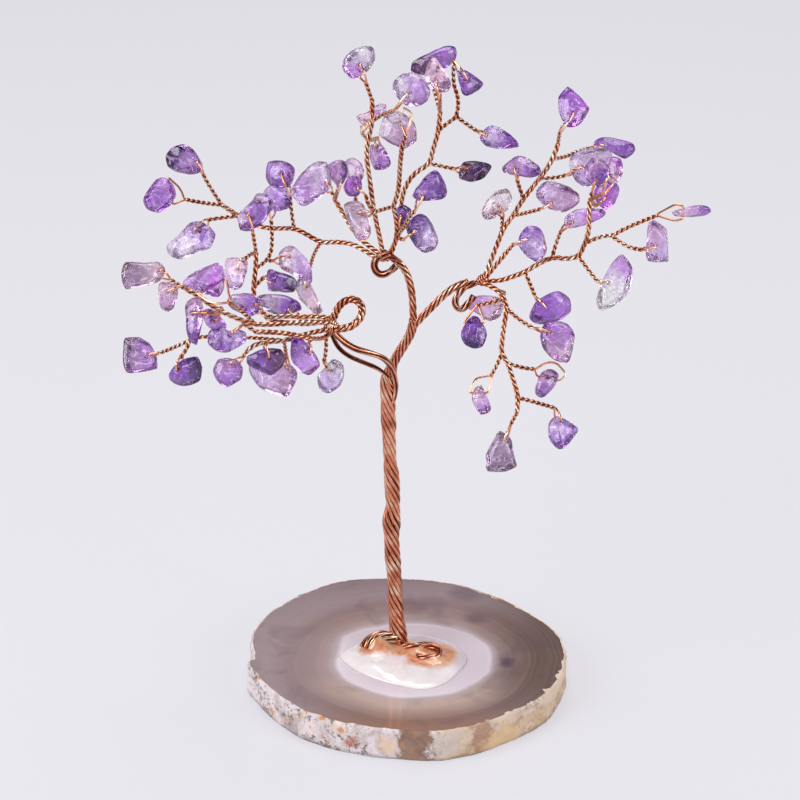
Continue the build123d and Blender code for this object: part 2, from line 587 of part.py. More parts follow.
         hole=(654, 246), toward=30, lean=(-8, 14), thickness_share=0.9, loose=True,
         outline=[(649, 221), (658, 218), (667, 227), (669, 248), (669, 266), (656, 265), (646, 262),
                  (646, 240)]),
    dict(node="right_clear_long_chip", spray="right_wide_spray", twig="h w", meet=(598, 282),
         hole=(609, 284), toward=36, lean=(10, -12), thickness_share=1.0, loose=True,
         outline=[(612, 263), (621, 253), (629, 256), (633, 270), (630, 290), (617, 304), (601, 311),
                  (596, 302), (602, 282)]),
    dict(node="right_wide_chips", spray="right_wide_spray", twig="d x", meet=(535, 296), hole=(543, 306),
         toward=20, lean=(-14, 16), thickness_share=1.1,
         outline=[(536, 302), (546, 295), (559, 291), (570, 299), (571, 310), (561, 319), (541, 326),
                  (529, 318)]),
    dict(node="right_violet_chip", spray="right_hanging_spray", twig="d r", meet=(533, 328),
         hole=(551, 334), toward=47, lean=(12, -10), thickness_share=0.95, loose=True,
         outline=[(543, 325), (554, 321), (568, 324), (575, 335), (573, 352), (568, 364), (555, 361),
                  (543, 349), (540, 337)]),
    dict(node="right_dark_drop_chip", spray="right_hanging_spray", twig="c p", meet=(478, 305),
         hole=(471, 323, 477, 323), toward=38, lean=(4, -6), thickness_share=1.1, loose=True,
         outline=[(472, 316), (478, 317), (484, 325), (487, 335), (483, 346), (474, 349), (464, 344),
                  (461, 333), (466, 322)]),
    dict(node="right_wide_chips", spray="right_hanging_spray", twig="b", meet=(505, 293), hole=(497, 303),
         toward=2, lean=(-16, -12), thickness_share=0.95,
         outline=[(462, 305), (470, 298), (482, 295), (497, 297), (504, 303), (501, 316), (490, 321),
                  (478, 314)]),
    dict(node="right_pale_hanging_chip", spray="right_hanging_spray", twig="g s", meet=(491, 376),
         hole=(476, 393, 483, 393), out=[(476, 378), (472, 386)], toward=52, lean=(6, 8),
         thickness_share=0.95, loose=True,
         outline=[(478, 384), (481, 384), (486, 394), (491, 408), (488, 413), (480, 414), (473, 402),
                  (472, 393)]),
    dict(node="right_big_loop_chip", spray="right_hanging_spray", twig="h t", meet=(534, 369),
         hole=(541, 377, 551, 379), back=[(567, 375), (557, 363), (547, 362)], toward=44, lean=(8, 10),
         thickness_share=0.95, loose=True,
         outline=[(541, 373), (548, 369), (555, 370), (559, 375), (555, 386), (546, 396), (540, 398),
                  (535, 394), (536, 383)]),
    dict(node="right_smoky_hanging_chip", spray="right_hanging_spray", twig="n", meet=(511, 424),
         hole=(505, 441), toward=64, lean=(6, -8), thickness_share=1.0, loose=True,
         outline=[(499, 431), (506, 431), (512, 441), (514, 455), (517, 467), (505, 472), (489, 472),
                  (483, 463), (490, 446)]),
    dict(node="right_lowest_outer_chip", spray="right_hanging_spray", twig="m u", meet=(555, 408),
         hole=(559, 422), toward=52, lean=(10, 12), thickness_share=0.95, loose=True,
         outline=[(549, 423), (556, 416), (567, 420), (578, 428), (577, 436), (565, 448), (557, 449),
                  (549, 438)]),
]


# The slice: a wavy outline round a middle, as shares of half the width and half the depth
rim_shares = [0.998, 0.992, 0.973, 0.943, 0.94, 0.936, 0.946, 0.966, 0.976, 0.987, 1.013, 1.045,
              1.053, 1.041, 1.038, 1.036, 1.032, 1.017, 0.992, 1.0, 0.991, 0.984, 0.981, 0.983,
              0.981, 0.972, 0.977, 0.99, 1.012, 1.011, 1.003, 0.994, 1.003, 1.009, 1.001, 1.002]


def agate_slice():
    points = []
    for i, share in enumerate(rim_shares):
        angle = 2 * math.pi * i / len(rim_shares)
        points.append((share * slice_width / 2 * math.cos(angle), share * slice_depth / 2 * math.sin(angle)))
    outline = make_face(Spline(*points, periodic=True))
    body = extrude(outline, amount=slice_thickness)
    rims = body.faces().sort_by(Axis.Z)[0].edges() + body.faces().sort_by(Axis.Z)[-1].edges()
    return chamfer(rims, length=slice_edge_break).solid()


# The trunk: a twisted bundle that swells and narrows, as a stack of short cones
trunk_line_px = [(392, 366), (388, 378), (387.5, 400), (388.5, 420), (389.5, 440), (390, 460), (392, 480),
                 (393, 505), (391.5, 520), (391.5, 540), (393, 560), (394.5, 580), (395, 600), (396.5, 620),
                 (399, 636), (400, 650)]
trunk_swell_shares = [1.05, 1.04, 0.95, 0.95, 0.84, 0.84, 1.02, 0.9, 1.18, 0.96, 1.0, 0.95, 1.05, 1.0, 1.12,
                      1.2]


def trunk():
    spots = [place((px, py, 0)) for px, py in trunk_line_px]
    rings = []
    for spot, swell in zip(spots, trunk_swell_shares):
        rings.append(Plane(origin=spot) * Circle(swell * trunk_diameter / 2))
    return loft(rings, ruled=True).solid()


def rope(points_px, diameter):
    return tube(tube_path([place(point) for point in points_px]), diameter)


def ball(point_px, diameter):
    return Solid.make_sphere(diameter / 2, Plane(origin=place(point_px)))


# The limbs and their ties
fork_rope_px = [(391, 372, 0), (396, 357, 0), (406, 342, 0), (412, 331, 0), (414, 319, 0)]
middle_rope_px = [(413.5, 324, 0), (413, 303, -1), (411, 286, -3), (406, 271, -6), (397, 260, -9),
                  (386, 254, -14)]
right_rope_px = [(413, 327, 0), (421, 318, 2), (432, 307, 4), (446, 293, 6), (458, 285, 7), (468, 282, 8)]
left_bundle_px = [(394, 369, 10), (385, 358, 20), (370, 353, 26), (352, 348, 29), (337, 336, 30),
                  (333, 329, 30)]
left_pair_px = [(387, 378, 10), (378, 371, 16), (360, 363, 21), (346, 355, 24), (335, 344, 26),
                (331, 332, 28)]
left_ring_px = [(330, 329, 22), (334, 316, 20), (340, 304, 19), (351, 298, 20), (361, 303, 24),
                (363, 313, 28), (357, 323, 32), (346, 329, 35), (334, 329, 36)]
right_hook_px = [(482, 281, 8), (466, 285, 10), (458, 294, 13), (454, 303, 15), (459, 311, 15),
                 (467, 306, 13), (474, 296, 11)]
middle_curl_px = [(390, 255, -6), (379, 256, -2), (373, 264, 0), (377, 274, -2), (387, 275, -6),
                  (396, 266, -10)]


left_knot_px = (331, 327, 29)
middle_knot_px = (384, 256, -13)
right_knot_px = (483, 280, 9)


# The foot of the wires, bent flat on the slice: a lump to the left and a coil to the right
root_left_px = [(399, 640, 3), (390, 637, 5), (379, 636, 6), (369, 641, 9), (364, 648, 13)]


def right_coil():
    centre = foot + Vector(0.85 * coil_width, -0.8 * coil_depth, 0.8 * coil_diameter)
    start = foot + Vector(0.15 * trunk_diameter, -0.4 * trunk_diameter, coil_diameter)
    turn_count = 8
    points = [start]
    for i in range(turn_count + 1):
        angle = math.radians(150 - 330 * i / turn_count)
        width = coil_width / 2 * (1 - 0.35 * i / turn_count)
        depth = coil_depth / 2 * (1 - 0.35 * i / turn_count)
        rise = coil_diameter * 0.9 * (1 - i / turn_count)
        points.append(centre + Vector(width * math.cos(angle), depth * math.sin(angle), rise))
    return tube(tube_path(points), coil_diameter)


# The glue: a flat puddle with a crowned top, cast round the wires
glue_shares = [(1.0, 0.1), (0.9, 0.55), (0.62, 0.85), (0.25, 0.95), (-0.2, 1.0), (-0.6, 0.9), (-0.92, 0.62),
               (-1.0, 0.3), (-0.82, -0.1), (-0.5, -0.42), (-0.1, -0.75), (0.3, -1.0), (0.65, -0.9),
               (0.92, -0.4)]
glue_belt_shares = [(0.0, 1.0), (0.35, 0.94), (0.72, 0.78), (1.0, 0.48)]


def glue_puddle():
    centre = Vector(foot_x - foot_x / 2, foot_y - glue_depth * 0.45, slice_thickness)
    rings = []
    for height_share, width_share in glue_belt_shares:
        ring = []
        for across, along in glue_shares:
            x = across * width_share * glue_width / 2
            y = along * width_share * glue_depth / 2
            ring.append(centre + Vector(x, y, height_share * glue_height))
        rings.append(ring)
    faces = [Face(Wire.make_polygon(rings[0], close=True)), Face(Wire.make_polygon(rings[-1], close=True))]
    count = len(glue_shares)
    for low, high in zip(rings, rings[1:]):
        for i in range(count):
            j = (i + 1) % count
            faces.append(Face(Wire.make_polygon([low[i], low[j], high[j], high[i]], close=True)))
    return Solid(Shell(faces))


def spray_solid(name):
    spray = sprays[name]
    spots = {key: place(point) for key, point in spray["points"].items()}
    tubes = []
    for stem in spray["stems"]:
        keys = stem.split()
        path = tube_path([spots[key] for key in keys])
        tubes.append(tube(path, stem_diameter))
        for key in keys[1:-1]:
            spots[key] = path.position_at(path.param_at_point(nearest_on(path, spots[key])))
    for chip in chips:
        if chip["spray"] != name:
            continue
        keys = chip["twig"].split()
        path = tube_path([spots[key] for key in keys] + [twig_end(chip)])
        tubes.append(tube(path, twig_diameter))
        tubes.append(chip_loop(chip, spots[keys[-1]]))
    return tubes[0].fuse(*tubes[1:])


def nearest_on(path, point):
    gap, on_path, on_point = path.distance_to_with_closest_points(point)
    return on_path


# Each tie: the ring, curl or hook of the rope's end, and the lump where the twigs are wound into it
def tie(points_px, rope_width, lump_px, lump_width):
    return rope(points_px, rope_width).fuse(ball(lump_px, lump_width))


os.makedirs("parts", exist_ok=True)


def save(name, shape):
    solids = shape.solids()
    print(name, len(solids), "solids", round(shape.volume, 2), "mm3", flush=True)
    export_step(shape, "parts/" + name + ".step")


save("agate_slice", agate_slice())
save("trunk", trunk())
save("left_root", rope(root_left_px, root_diameter))
save("right_root_coil", right_coil())
save("glue_puddle", glue_puddle())
save("fork_rope", rope(fork_rope_px, fork_rope_diameter))
save("middle_limb_rope", rope(middle_rope_px, middle_rope_diameter))
save("right_limb_rope", rope(right_rope_px, right_rope_diameter))
save("left_limb_bundle", rope(left_bundle_px, left_bundle_diameter))
save("left_limb_pair", rope(left_pair_px, left_pair_diameter))
save("left_ring_tie", tie(left_ring_px, ring_rope_diameter, left_knot_px, tie_diameter))
save("middle_curl_tie", tie(middle_curl_px, middle_rope_diameter, middle_knot_px, small_tie_diameter))
save("right_hook_tie", tie(right_hook_px, right_rope_diameter, right_knot_px, small_tie_diameter))

for spray_name in sprays:
    save(spray_name, spray_solid(spray_name))

chips_by_node = {}
for chip in chips:
    chips_by_node.setdefault(chip["node"], []).append(chip_solid(chip))
for node_name, solids in chips_by_node.items():
    save(node_name, solids[0] if len(solids) == 1 else Compound(children=solids))

# A loose chip swings about its drilled hole
for chip in chips:
    if chip.get("loose"):
        middle, axis, reach = hole_line(chip)
        print(chip["node"], "swings about", middle, "along", axis)
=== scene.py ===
import bpy
import bmesh
import json
import math
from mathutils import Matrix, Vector, noise

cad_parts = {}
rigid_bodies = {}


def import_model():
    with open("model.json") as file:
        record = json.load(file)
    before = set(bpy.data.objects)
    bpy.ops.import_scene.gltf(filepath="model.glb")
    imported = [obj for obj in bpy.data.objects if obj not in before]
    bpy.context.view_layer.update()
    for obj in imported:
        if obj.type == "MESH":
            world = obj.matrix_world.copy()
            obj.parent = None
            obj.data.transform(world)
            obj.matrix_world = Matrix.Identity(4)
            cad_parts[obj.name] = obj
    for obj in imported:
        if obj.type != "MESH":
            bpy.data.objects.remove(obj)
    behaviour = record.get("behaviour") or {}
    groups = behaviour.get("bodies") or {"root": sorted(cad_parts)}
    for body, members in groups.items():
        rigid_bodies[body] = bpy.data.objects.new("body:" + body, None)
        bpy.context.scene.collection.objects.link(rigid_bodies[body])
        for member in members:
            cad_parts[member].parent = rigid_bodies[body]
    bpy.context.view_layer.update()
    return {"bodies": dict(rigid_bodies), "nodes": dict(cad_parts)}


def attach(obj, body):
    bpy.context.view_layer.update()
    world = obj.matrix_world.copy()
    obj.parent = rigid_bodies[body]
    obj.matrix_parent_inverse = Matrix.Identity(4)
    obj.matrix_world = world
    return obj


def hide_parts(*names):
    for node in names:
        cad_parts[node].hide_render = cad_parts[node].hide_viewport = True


# Gemstone tree: copper wire, drilled amethyst stones and a slice of agate. Metres, same frame as the CAD.

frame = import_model()
scene = bpy.context.scene
mm = 0.001
print("frame loaded:", len(frame["nodes"]), "nodes")

# Places on the tree are given as pixels in this view, with how many pixels they stand toward the viewer.
# The foot of the tree on the slice is seen at footPixel
view = {"middle": 400, "focal": 3050, "pixel": 126.0 * mm / 591, "tilt": 25.0, "footPixel": (400, 650, 0),
        "foot": Vector((-1.8, 0.6, 7.2)) * mm, "sensor": 36.0, "frame": 800}
tilt = math.radians(view["tilt"])
rightWay = Vector((1, 0, 0))
upWay = Vector((0, math.sin(tilt), math.cos(tilt)))
lookWay = Vector((0, math.cos(tilt), -math.sin(tilt)))
farEye = lookWay * (-view["focal"] * view["pixel"])


def sightLine(px, py):
    return lookWay * view["focal"] + rightWay * (px - view["middle"]) + upWay * (view["middle"] - py)


def seenFromTarget(px, py, toward):
    ray = sightLine(px, py)
    return farEye + ray * ((-toward * view["pixel"] - farEye.y) / ray.y)


viewShift = view["foot"] - seenFromTarget(*view["footPixel"])
eye = farEye + viewShift


def place(px, py, toward):
    return seenFromTarget(px, py, toward) + viewShift


def onPlane(px, py, origin, normal):
    ray = sightLine(px, py)
    return eye + ray * ((origin - eye).dot(normal) / ray.dot(normal))


# A colour as a screen shows it, 0 to 255, made a shader's own
def tint(red, green, blue):
    values = []
    for value in (red, green, blue):
        share = value / 255
        values.append(share / 12.92 if share <= 0.04045 else ((share + 0.055) / 1.055) ** 2.4)
    return (*values, 1.0)


# Three numbers are a colour from the screen. A shader's own colour or another node's output stays as it is
def readyColour(colour):
    return tint(*colour) if isinstance(colour, tuple) and len(colour) == 3 else colour


def feed(tree, node, values):
    for name, value in values.items():
        if isinstance(value, bpy.types.NodeSocket):
            tree.links.new(value, node.inputs[name])
        else:
            node.inputs[name].default_value = value


def addNode(tree, kind, values, **settings):
    node = tree.nodes.new("ShaderNode" + kind)
    for name, value in settings.items():
        setattr(node, name, value)
    feed(tree, node, values)
    return node


def newFinish(name):
    finish = bpy.data.materials.new(name)
    finish.use_nodes = True
    tree = finish.node_tree
    tree.nodes.clear()
    shader = addNode(tree, "BsdfPrincipled", {})
    addNode(tree, "OutputMaterial", {0: shader.outputs[0]})
    return finish, tree, shader


def mapped(tree, offset=(0, 0, 0), turn=(0, 0, 0), stretch=(1, 1, 1)):
    coordinates = addNode(tree, "TexCoord", {})
    return addNode(tree, "Mapping", {"Vector": coordinates.outputs["Object"], "Location": offset,
                                     "Rotation": turn, "Scale": stretch}).outputs["Vector"]


def noiseOf(tree, vector, scale, detail=3.0, roughness=0.55, distortion=0.0):
    return addNode(tree, "TexNoise", {"Vector": vector, "Scale": scale, "Detail": detail,
                                      "Roughness": roughness, "Distortion": distortion}).outputs["Fac"]


def rampOf(tree, factor, stops):
    node = addNode(tree, "ValToRGB", {"Fac": factor})
    ramp = node.color_ramp
    while len(ramp.elements) < len(stops):
        ramp.elements.new(0.5)
    for element, (position, colour) in zip(ramp.elements, stops):
        element.position = position
        element.color = readyColour(colour)
    return node.outputs["Color"]


def rampValue(tree, factor, low, high, lowValue=0.0, highValue=1.0):
    return addNode(tree, "MapRange", {"Value": factor, "From Min": low, "From Max": high, "To Min": lowValue,
                                      "To Max": highValue}).outputs["Result"]


# The mix node keeps its colours in inputs 6 and 7 and gives the mixed one as output 2
def mixColour(tree, factor, first, second):
    values = {0: factor, 6: readyColour(first), 7: readyColour(second)}
    return addNode(tree, "Mix", values, data_type="RGBA").outputs[2]


def mathOf(tree, way, first, second=0.0):
    return addNode(tree, "Math", {0: first, 1: second}, operation=way).outputs[0]


def plus(tree, first, second):
    return mathOf(tree, "ADD", first, second)


def times(tree, first, second):
    return mathOf(tree, "MULTIPLY", first, second)


def axesOf(tree, vector):
    return addNode(tree, "SeparateXYZ", {0: vector}).outputs


# The share at a spot, which falls to nothing between two distances from it. Ragged makes its edge uneven
def nearness(tree, vector, spot, inner, outer, share, ragged=0.0):
    distance = addNode(tree, "VectorMath", {0: vector, 1: spot}, operation="DISTANCE").outputs["Value"]
    return rampValue(tree, plus(tree, distance, ragged), inner, outer, share, 0.0)


def addBump(tree, shader, height, strength, distance):
    bump = addNode(tree, "Bump", {"Strength": strength, "Distance": distance, "Height": height})
    feed(tree, shader, {"Normal": bump.outputs["Normal"]})


# Two copies of one copper wire: the twigs' is painted lighter, up to near white, for the light and highlights
# falling on them from above, and the trunk's is the darker, shaded copy
copperLooks = {
    "shadedTrunkCopper": {"tarnish": [(0.30, (172, 92, 68)), (0.50, (228, 146, 114)), (0.70, (255, 222, 190))],
                    "grooveShade": (52, 18, 10), "grooveShadeShare": 0.93, "roughness": (0.12, 0.24)},
    "litTwigCopper": {"tarnish": [(0.30, (208, 122, 88)), (0.50, (252, 184, 144)), (0.70, (255, 238, 216))],
                   "grooveShade": (84, 32, 22), "grooveShadeShare": 0.86, "roughness": (0.14, 0.26)},
}
copperSurface = {"tarnish": (260, 4, 0.6), "dullSpots": (700, 2), "dullEdge": (0.3, 0.7),
                 "grooveRoughness": 0.35, "grain": (3200, 2), "grainBump": (0.08, 0.03 * mm)}


# The piece's own attribute is 1 deep between the strands of a twist and 0 on their outsides. There the copper is
# painted shade: darkened toward a near-black brown, and made rougher
def copperFinish(name, look):
    finish, tree, shader = newFinish(name)
    vector = mapped(tree)
    depth = addNode(tree, "Attribute", {}, attribute_name="grooveShade").outputs["Fac"]
    colour = rampOf(tree, noiseOf(tree, vector, *copperSurface["tarnish"]), look["tarnish"])
    # Painted shade: the copper turns a near-black brown between the strands, where shade falls
    colour = mixColour(tree, times(tree, depth, look["grooveShadeShare"]), colour, look["grooveShade"])
    dull = noiseOf(tree, vector, *copperSurface["dullSpots"])
    rough = plus(tree, rampValue(tree, dull, *copperSurface["dullEdge"], *look["roughness"]),
                 times(tree, depth, copperSurface["grooveRoughness"]))
    feed(tree, shader, {"Base Color": colour, "Roughness": rough, "Metallic": 1.0})
    addBump(tree, shader, noiseOf(tree, vector, *copperSurface["grain"]), *copperSurface["grainBump"])
    return finish


coppers = {name: copperFinish(name, look) for name, look in copperLooks.items()}

# The colours that the stones show against the pale backdrop
stoneTints = {
    "snow": (240, 228, 242), "mist": (222, 208, 232), "lilac": (198, 168, 222), "orchid": (178, 126, 208),
    "violet": (150, 94, 192), "purple": (122, 66, 170), "deep": (74, 32, 116), "plum": (74, 38, 78),
    "indigo": (42, 22, 64), "rose": (226, 190, 212), "mauve": (182, 138, 182), "ash": (172, 148, 178),
    "smoke": (134, 106, 140), "magenta": (176, 92, 204),
}
# A cloud, patch, veil, fleck or dent is its noise: scale, detail, roughness and distortion. An edge says between
# which values of the noise the pattern comes in, and how strong it is there
stoneSurface = {
    "power": 0.78, "gain": 1.32, "zones": (0.25, 0.75),
    "cloud": (230, 4, 0.6, 1.0), "cloudStretch": (1, 1, 0.55), "cloudShift": 1.68,
    "patch": (299, 3, 0.55, 1.5), "patchStretch": (1, 0.5, 1), "patchEdge": (0.54, 0.60, 0.0, 0.66),
    "patchShade": 0.40,
    "veil": (520, 4, 0.65, 1.2), "veilStretch": (1, 2.6, 1), "veilEdge": (0.54, 0.66, 0.0, 0.5),
    "crack": 300, "crackStretch": (1, 0.4, 1), "crackEdge": (0.0, 0.035, 0.6, 0.0),
    "crackCloud": (-0.05, 0.08), "crackShade": 0.5,
    "fleck": (900, 3, 0.6), "fleckEdge": (0.62, 0.68, 0.0, 0.6), "fleckShade": 0.45,
    "roughness": (0.35, 0.7, 0.02, 0.12), "clear": (0.42, 0.62, 0.97, 0.62), "ior": 1.54,
    "dent": (560, 3, 0.5), "dentBump": (0.22, 0.14 * mm),
}


# Light passes into a stone and out again, so its own colour is paler than what it shows
def throughTint(name, share=1.0):
    seen = tint(*stoneTints[name])[:3]
    return (*[min(1.0, value * share * stoneSurface["gain"]) ** stoneSurface["power"] for value in seen], 1.0)


# A stone's colour runs from its first tint to its second across it, with clouds, dark patches, veils and cracks
def stoneFinish(name, tints, way, middle, halfSpan, seed):
    look = stoneSurface
    finish, tree, shader = newFinish(name)
    turn = (0.7 * seed, 1.3 * seed, 0.4 * seed)
    shifted = mapped(tree, (0.013 * seed, 0.007 * seed, -0.011 * seed), turn, look["cloudStretch"])
    across = addNode(tree, "VectorMath", {0: mapped(tree), 1: way / (2 * halfSpan)}, operation="DOT_PRODUCT")
    across = plus(tree, across.outputs["Value"], 0.5 - middle.dot(way) / (2 * halfSpan))
    cloud = plus(tree, noiseOf(tree, shifted, *look["cloud"]), -0.5)
    zone = plus(tree, across, times(tree, cloud, look["cloudShift"]))
    colour = rampOf(tree, zone, list(zip(look["zones"], map(throughTint, tints))))
    patch = noiseOf(tree, mapped(tree, (0.03 * seed, 0.5, 0), turn, look["patchStretch"]), *look["patch"])
    veil = noiseOf(tree, mapped(tree, (0.02 * seed, 0, 0), turn, look["veilStretch"]), *look["veil"])
    cells = addNode(tree, "TexVoronoi", {"Vector": mapped(tree, (0, 0.04 * seed, 0), turn, look["crackStretch"]),
                                         "Scale": look["crack"]}, feature="DISTANCE_TO_EDGE")
    crack = times(tree, rampValue(tree, cells.outputs["Distance"], *look["crackEdge"]),
                  rampValue(tree, cloud, *look["crackCloud"]))
    fleck = rampValue(tree, noiseOf(tree, shifted, *look["fleck"]), *look["fleckEdge"])
    dark = tints[1]
    for share, over in ((rampValue(tree, patch, *look["patchEdge"]), throughTint(dark, look["patchShade"])),
                        (rampValue(tree, veil, *look["veilEdge"]), throughTint("mist")),
                        (crack, throughTint(dark, look["crackShade"])),
                        (fleck, throughTint(dark, look["fleckShade"]))):
        colour = mixColour(tree, share, colour, over)
    feed(tree, shader, {"Base Color": colour, "Roughness": rampValue(tree, veil, *look["roughness"]),
                        "Transmission Weight": rampValue(tree, veil, *look["clear"]), "IOR": look["ior"]})
    addBump(tree, shader, noiseOf(tree, shifted, *look["dent"]), *look["dentBump"])
    return finish


# The pale middle is an uneven oval, 0 at its centre and 1 at its rim, and zones are shares of edge times that.
# Shades are laid on in their order: where, along which axis, from and to which mm, how strong and what colour.
# A spot is its middle and size in mm and its strength
agateLook = {
    "centre": (1.3, -3.9), "oval": (17.2, 16.4), "wander": (0.9, 2, 0.5), "wanderBy": 0.24,
    "ripple": (5.5, 3, 0.55), "rippleBy": 0.03, "edge": 2.4, "bulge": ((-14.5, 7.0, 7.2), 9.0, 0.16),
    "zones": [(0.00, (212, 200, 208)), (0.30, (208, 194, 204)), (0.40, (220, 208, 216)),
              (0.425, (182, 166, 172)), (0.47, (162, 142, 140)), (0.55, (148, 124, 120)),
              (0.66, (132, 108, 106)), (0.78, (144, 124, 124)), (0.90, (132, 112, 110)), (1.0, (120, 100, 94))],
    "inside": (0.95, 1.0, 1.0, 0.0), "outside": (0.99, 1.10), "front": (1.55, 1.2),
    "shades": [("inside", "Y", 2, 13, 0.85, (176, 162, 168)), ("inside", "X", 7, 17, 0.6, (190, 178, 190)),
               ("outside", "X", 12, 30, 0.78, (84, 66, 56)), ("outside", "X", -12, -33, 0.5, (164, 148, 156)),
               ("outside", "Y", 14, 30, 0.35, (134, 122, 136)), ("front", "Y", -10, -18, 0.62, (196, 172, 160)),
               ("outside", "Y", -24, -32, 0.75, (142, 104, 82))],
    "rings": (15, 3, 0.5), "ringEdge": (0.42, 0.66, 0.0, 0.06), "ringTint": (198, 182, 186),
    "stain": (70, 3, 0.6, 0.5), "stainEdge": (0.56, 0.68, 0.0, 0.32), "stainTint": (88, 72, 80),
    "spots": [((21.9, -4.2, 7.2), 2.1, 0.75), ((21.6, -5.8, 7.2), 1.8, 0.7), ((13.1, 26.4, 7.2), 5.0, 0.4),
              ((15.4, 15.0, 7.2), 3.6, 0.42), ((5.0, 22.0, 7.2), 5.0, 0.2)],
    "spotTint": (86, 68, 84), "spotCore": 0.4, "roughness": 0.09, "ior": 1.54,
}


def agateTopFinish():
    look = agateLook
    finish, tree, shader = newFinish("polishedAgate")
    ground = mapped(tree)
    axes = axesOf(tree, ground)
    (centreX, centreY), (ovalX, ovalY) = look["centre"], look["oval"]
    vector = mapped(tree, (-centreX / ovalX, -centreY / ovalY, 0), (0, 0, 0),
                    (1 / (ovalX * mm), 1 / (ovalY * mm), 0))
    reach = addNode(tree, "VectorMath", {0: vector}, operation="LENGTH").outputs["Value"]
    for pattern in ("wander", "ripple"):
        uneven = plus(tree, noiseOf(tree, vector, *look[pattern]), -0.5)
        reach = plus(tree, reach, times(tree, uneven, look[pattern + "By"]))
    spot, size, share = look["bulge"]
    reach = plus(tree, reach, nearness(tree, ground, Vector(spot) * mm, 0.0, size * mm, -share))
    colour = rampOf(tree, mathOf(tree, "DIVIDE", reach, look["edge"]), look["zones"])
    areas = {area: rampValue(tree, reach, *look[area]) for area in ("inside", "outside", "front")}
    areas["front"] = times(tree, areas["front"], areas["outside"])
    for area, axis, start, end, share, shade in look["shades"]:
        amount = rampValue(tree, axes[axis], start * mm, end * mm, 0.0, share)
        colour = mixColour(tree, times(tree, amount, areas[area]), colour, shade)
    lines = noiseOf(tree, addNode(tree, "CombineXYZ", {0: reach}).outputs[0], *look["rings"])
    colour = mixColour(tree, rampValue(tree, lines, *look["ringEdge"]), colour, look["ringTint"])
    stain = rampValue(tree, noiseOf(tree, ground, *look["stain"]), *look["stainEdge"])
    colour = mixColour(tree, times(tree, stain, areas["outside"]), colour, look["stainTint"])
    for spot, size, share in look["spots"]:
        near = nearness(tree, ground, Vector(spot) * mm, look["spotCore"] * size * mm, size * mm, share)
        colour = mixColour(tree, near, colour, look["spotTint"])
    feed(tree, shader, {"Base Color": colour, "Roughness": look["roughness"], "IOR": look["ior"]})
    return finish


# Ragged is the noise that the edges of patches follow. The window is the smooth brown part at the front, where
# the rind has broken away. A patch is its middle and its size in mm, its colour and its strength
rindLook = {
    "left": [(0.30, (150, 134, 134)), (0.42, (200, 184, 184)), (0.54, (228, 216, 220)),
             (0.68, (208, 192, 190))],
    "right": [(0.30, (168, 134, 104)), (0.46, (200, 170, 142)), (0.60, (214, 188, 160)),
              (0.72, (190, 158, 130))],
    "side": (2 * mm, 9 * mm), "mottle": (150, 5, 0.65, 0.4), "ragged": (300, 4, 0.6), "raggedBy": 8 * mm,
    "high": (4.4 * mm, 5.2 * mm, 0.0, 0.55), "crust": (220, 204, 190),
    "rusted": (300, 3, 0.6), "crustEdge": (0.56, 0.62, 0.0, 0.7), "rustEdge": (0.63, 0.68, 0.0, 0.85),
    "rust": (204, 132, 78),
    "specks": (1000, 5, 0.7), "speckCrowds": (95, 2, 0.5), "crowding": 0.9, "sparse": 0.58,
    "speckEdge": (0.54, 0.62), "speckShare": (0.75, 0.4), "speck": (62, 54, 58),
    "dark": ((-7.0, -33.6, 1.0), 8.0, 0.10), "patchCore": 0.6, "patchRagged": 0.5, "patchRaggedTo": 3.0,
    "low": (0.5 * mm, 1.2 * mm, 0.75, 0.0), "lowRagged": 0.25, "lineNoise": (60, 2), "line": (66, 54, 54),
    "patches": [((15.7, -31.0, 5.0), 4.0, (158, 112, 86), 0.7), ((8.0, -33.6, 3.8), 3.8, (204, 192, 186), 0.7),
                ((20.0, -28.0, 1.0), 5.0, (222, 190, 150), 0.8),
                ((-21.4, -27.6, 4.0), 1.9, (238, 222, 212), 0.7),
                ((-21.2, -27.8, 4.0), 0.7, (204, 122, 80), 0.8),
                ((-14.8, -31.2, 5.4), 2.2, (236, 214, 196), 0.7),
                ((-14.6, -31.4, 5.4), 1.0, (206, 136, 96), 0.75),
                ((-12.4, -32.4, 3.0), 1.5, (186, 104, 76), 0.75),
                ((-4.6, -34.0, 3.2), 2.4, (234, 204, 170), 0.65)],
    "windowMiddle": 1.4 * mm, "windowHalf": (2.7 * mm, 3.4 * mm, 1.0, 0.0), "windowFront": (-28 * mm, -30 * mm),
    "windowShade": (240, 3, 0.6), "window": [(0.35, (128, 98, 84)), (0.6, (160, 126, 106))],
    "roughness": (0.65, 0.22), "grain": (800, 5, 0.7), "grainBump": (0.8, 0.5 * mm),
}


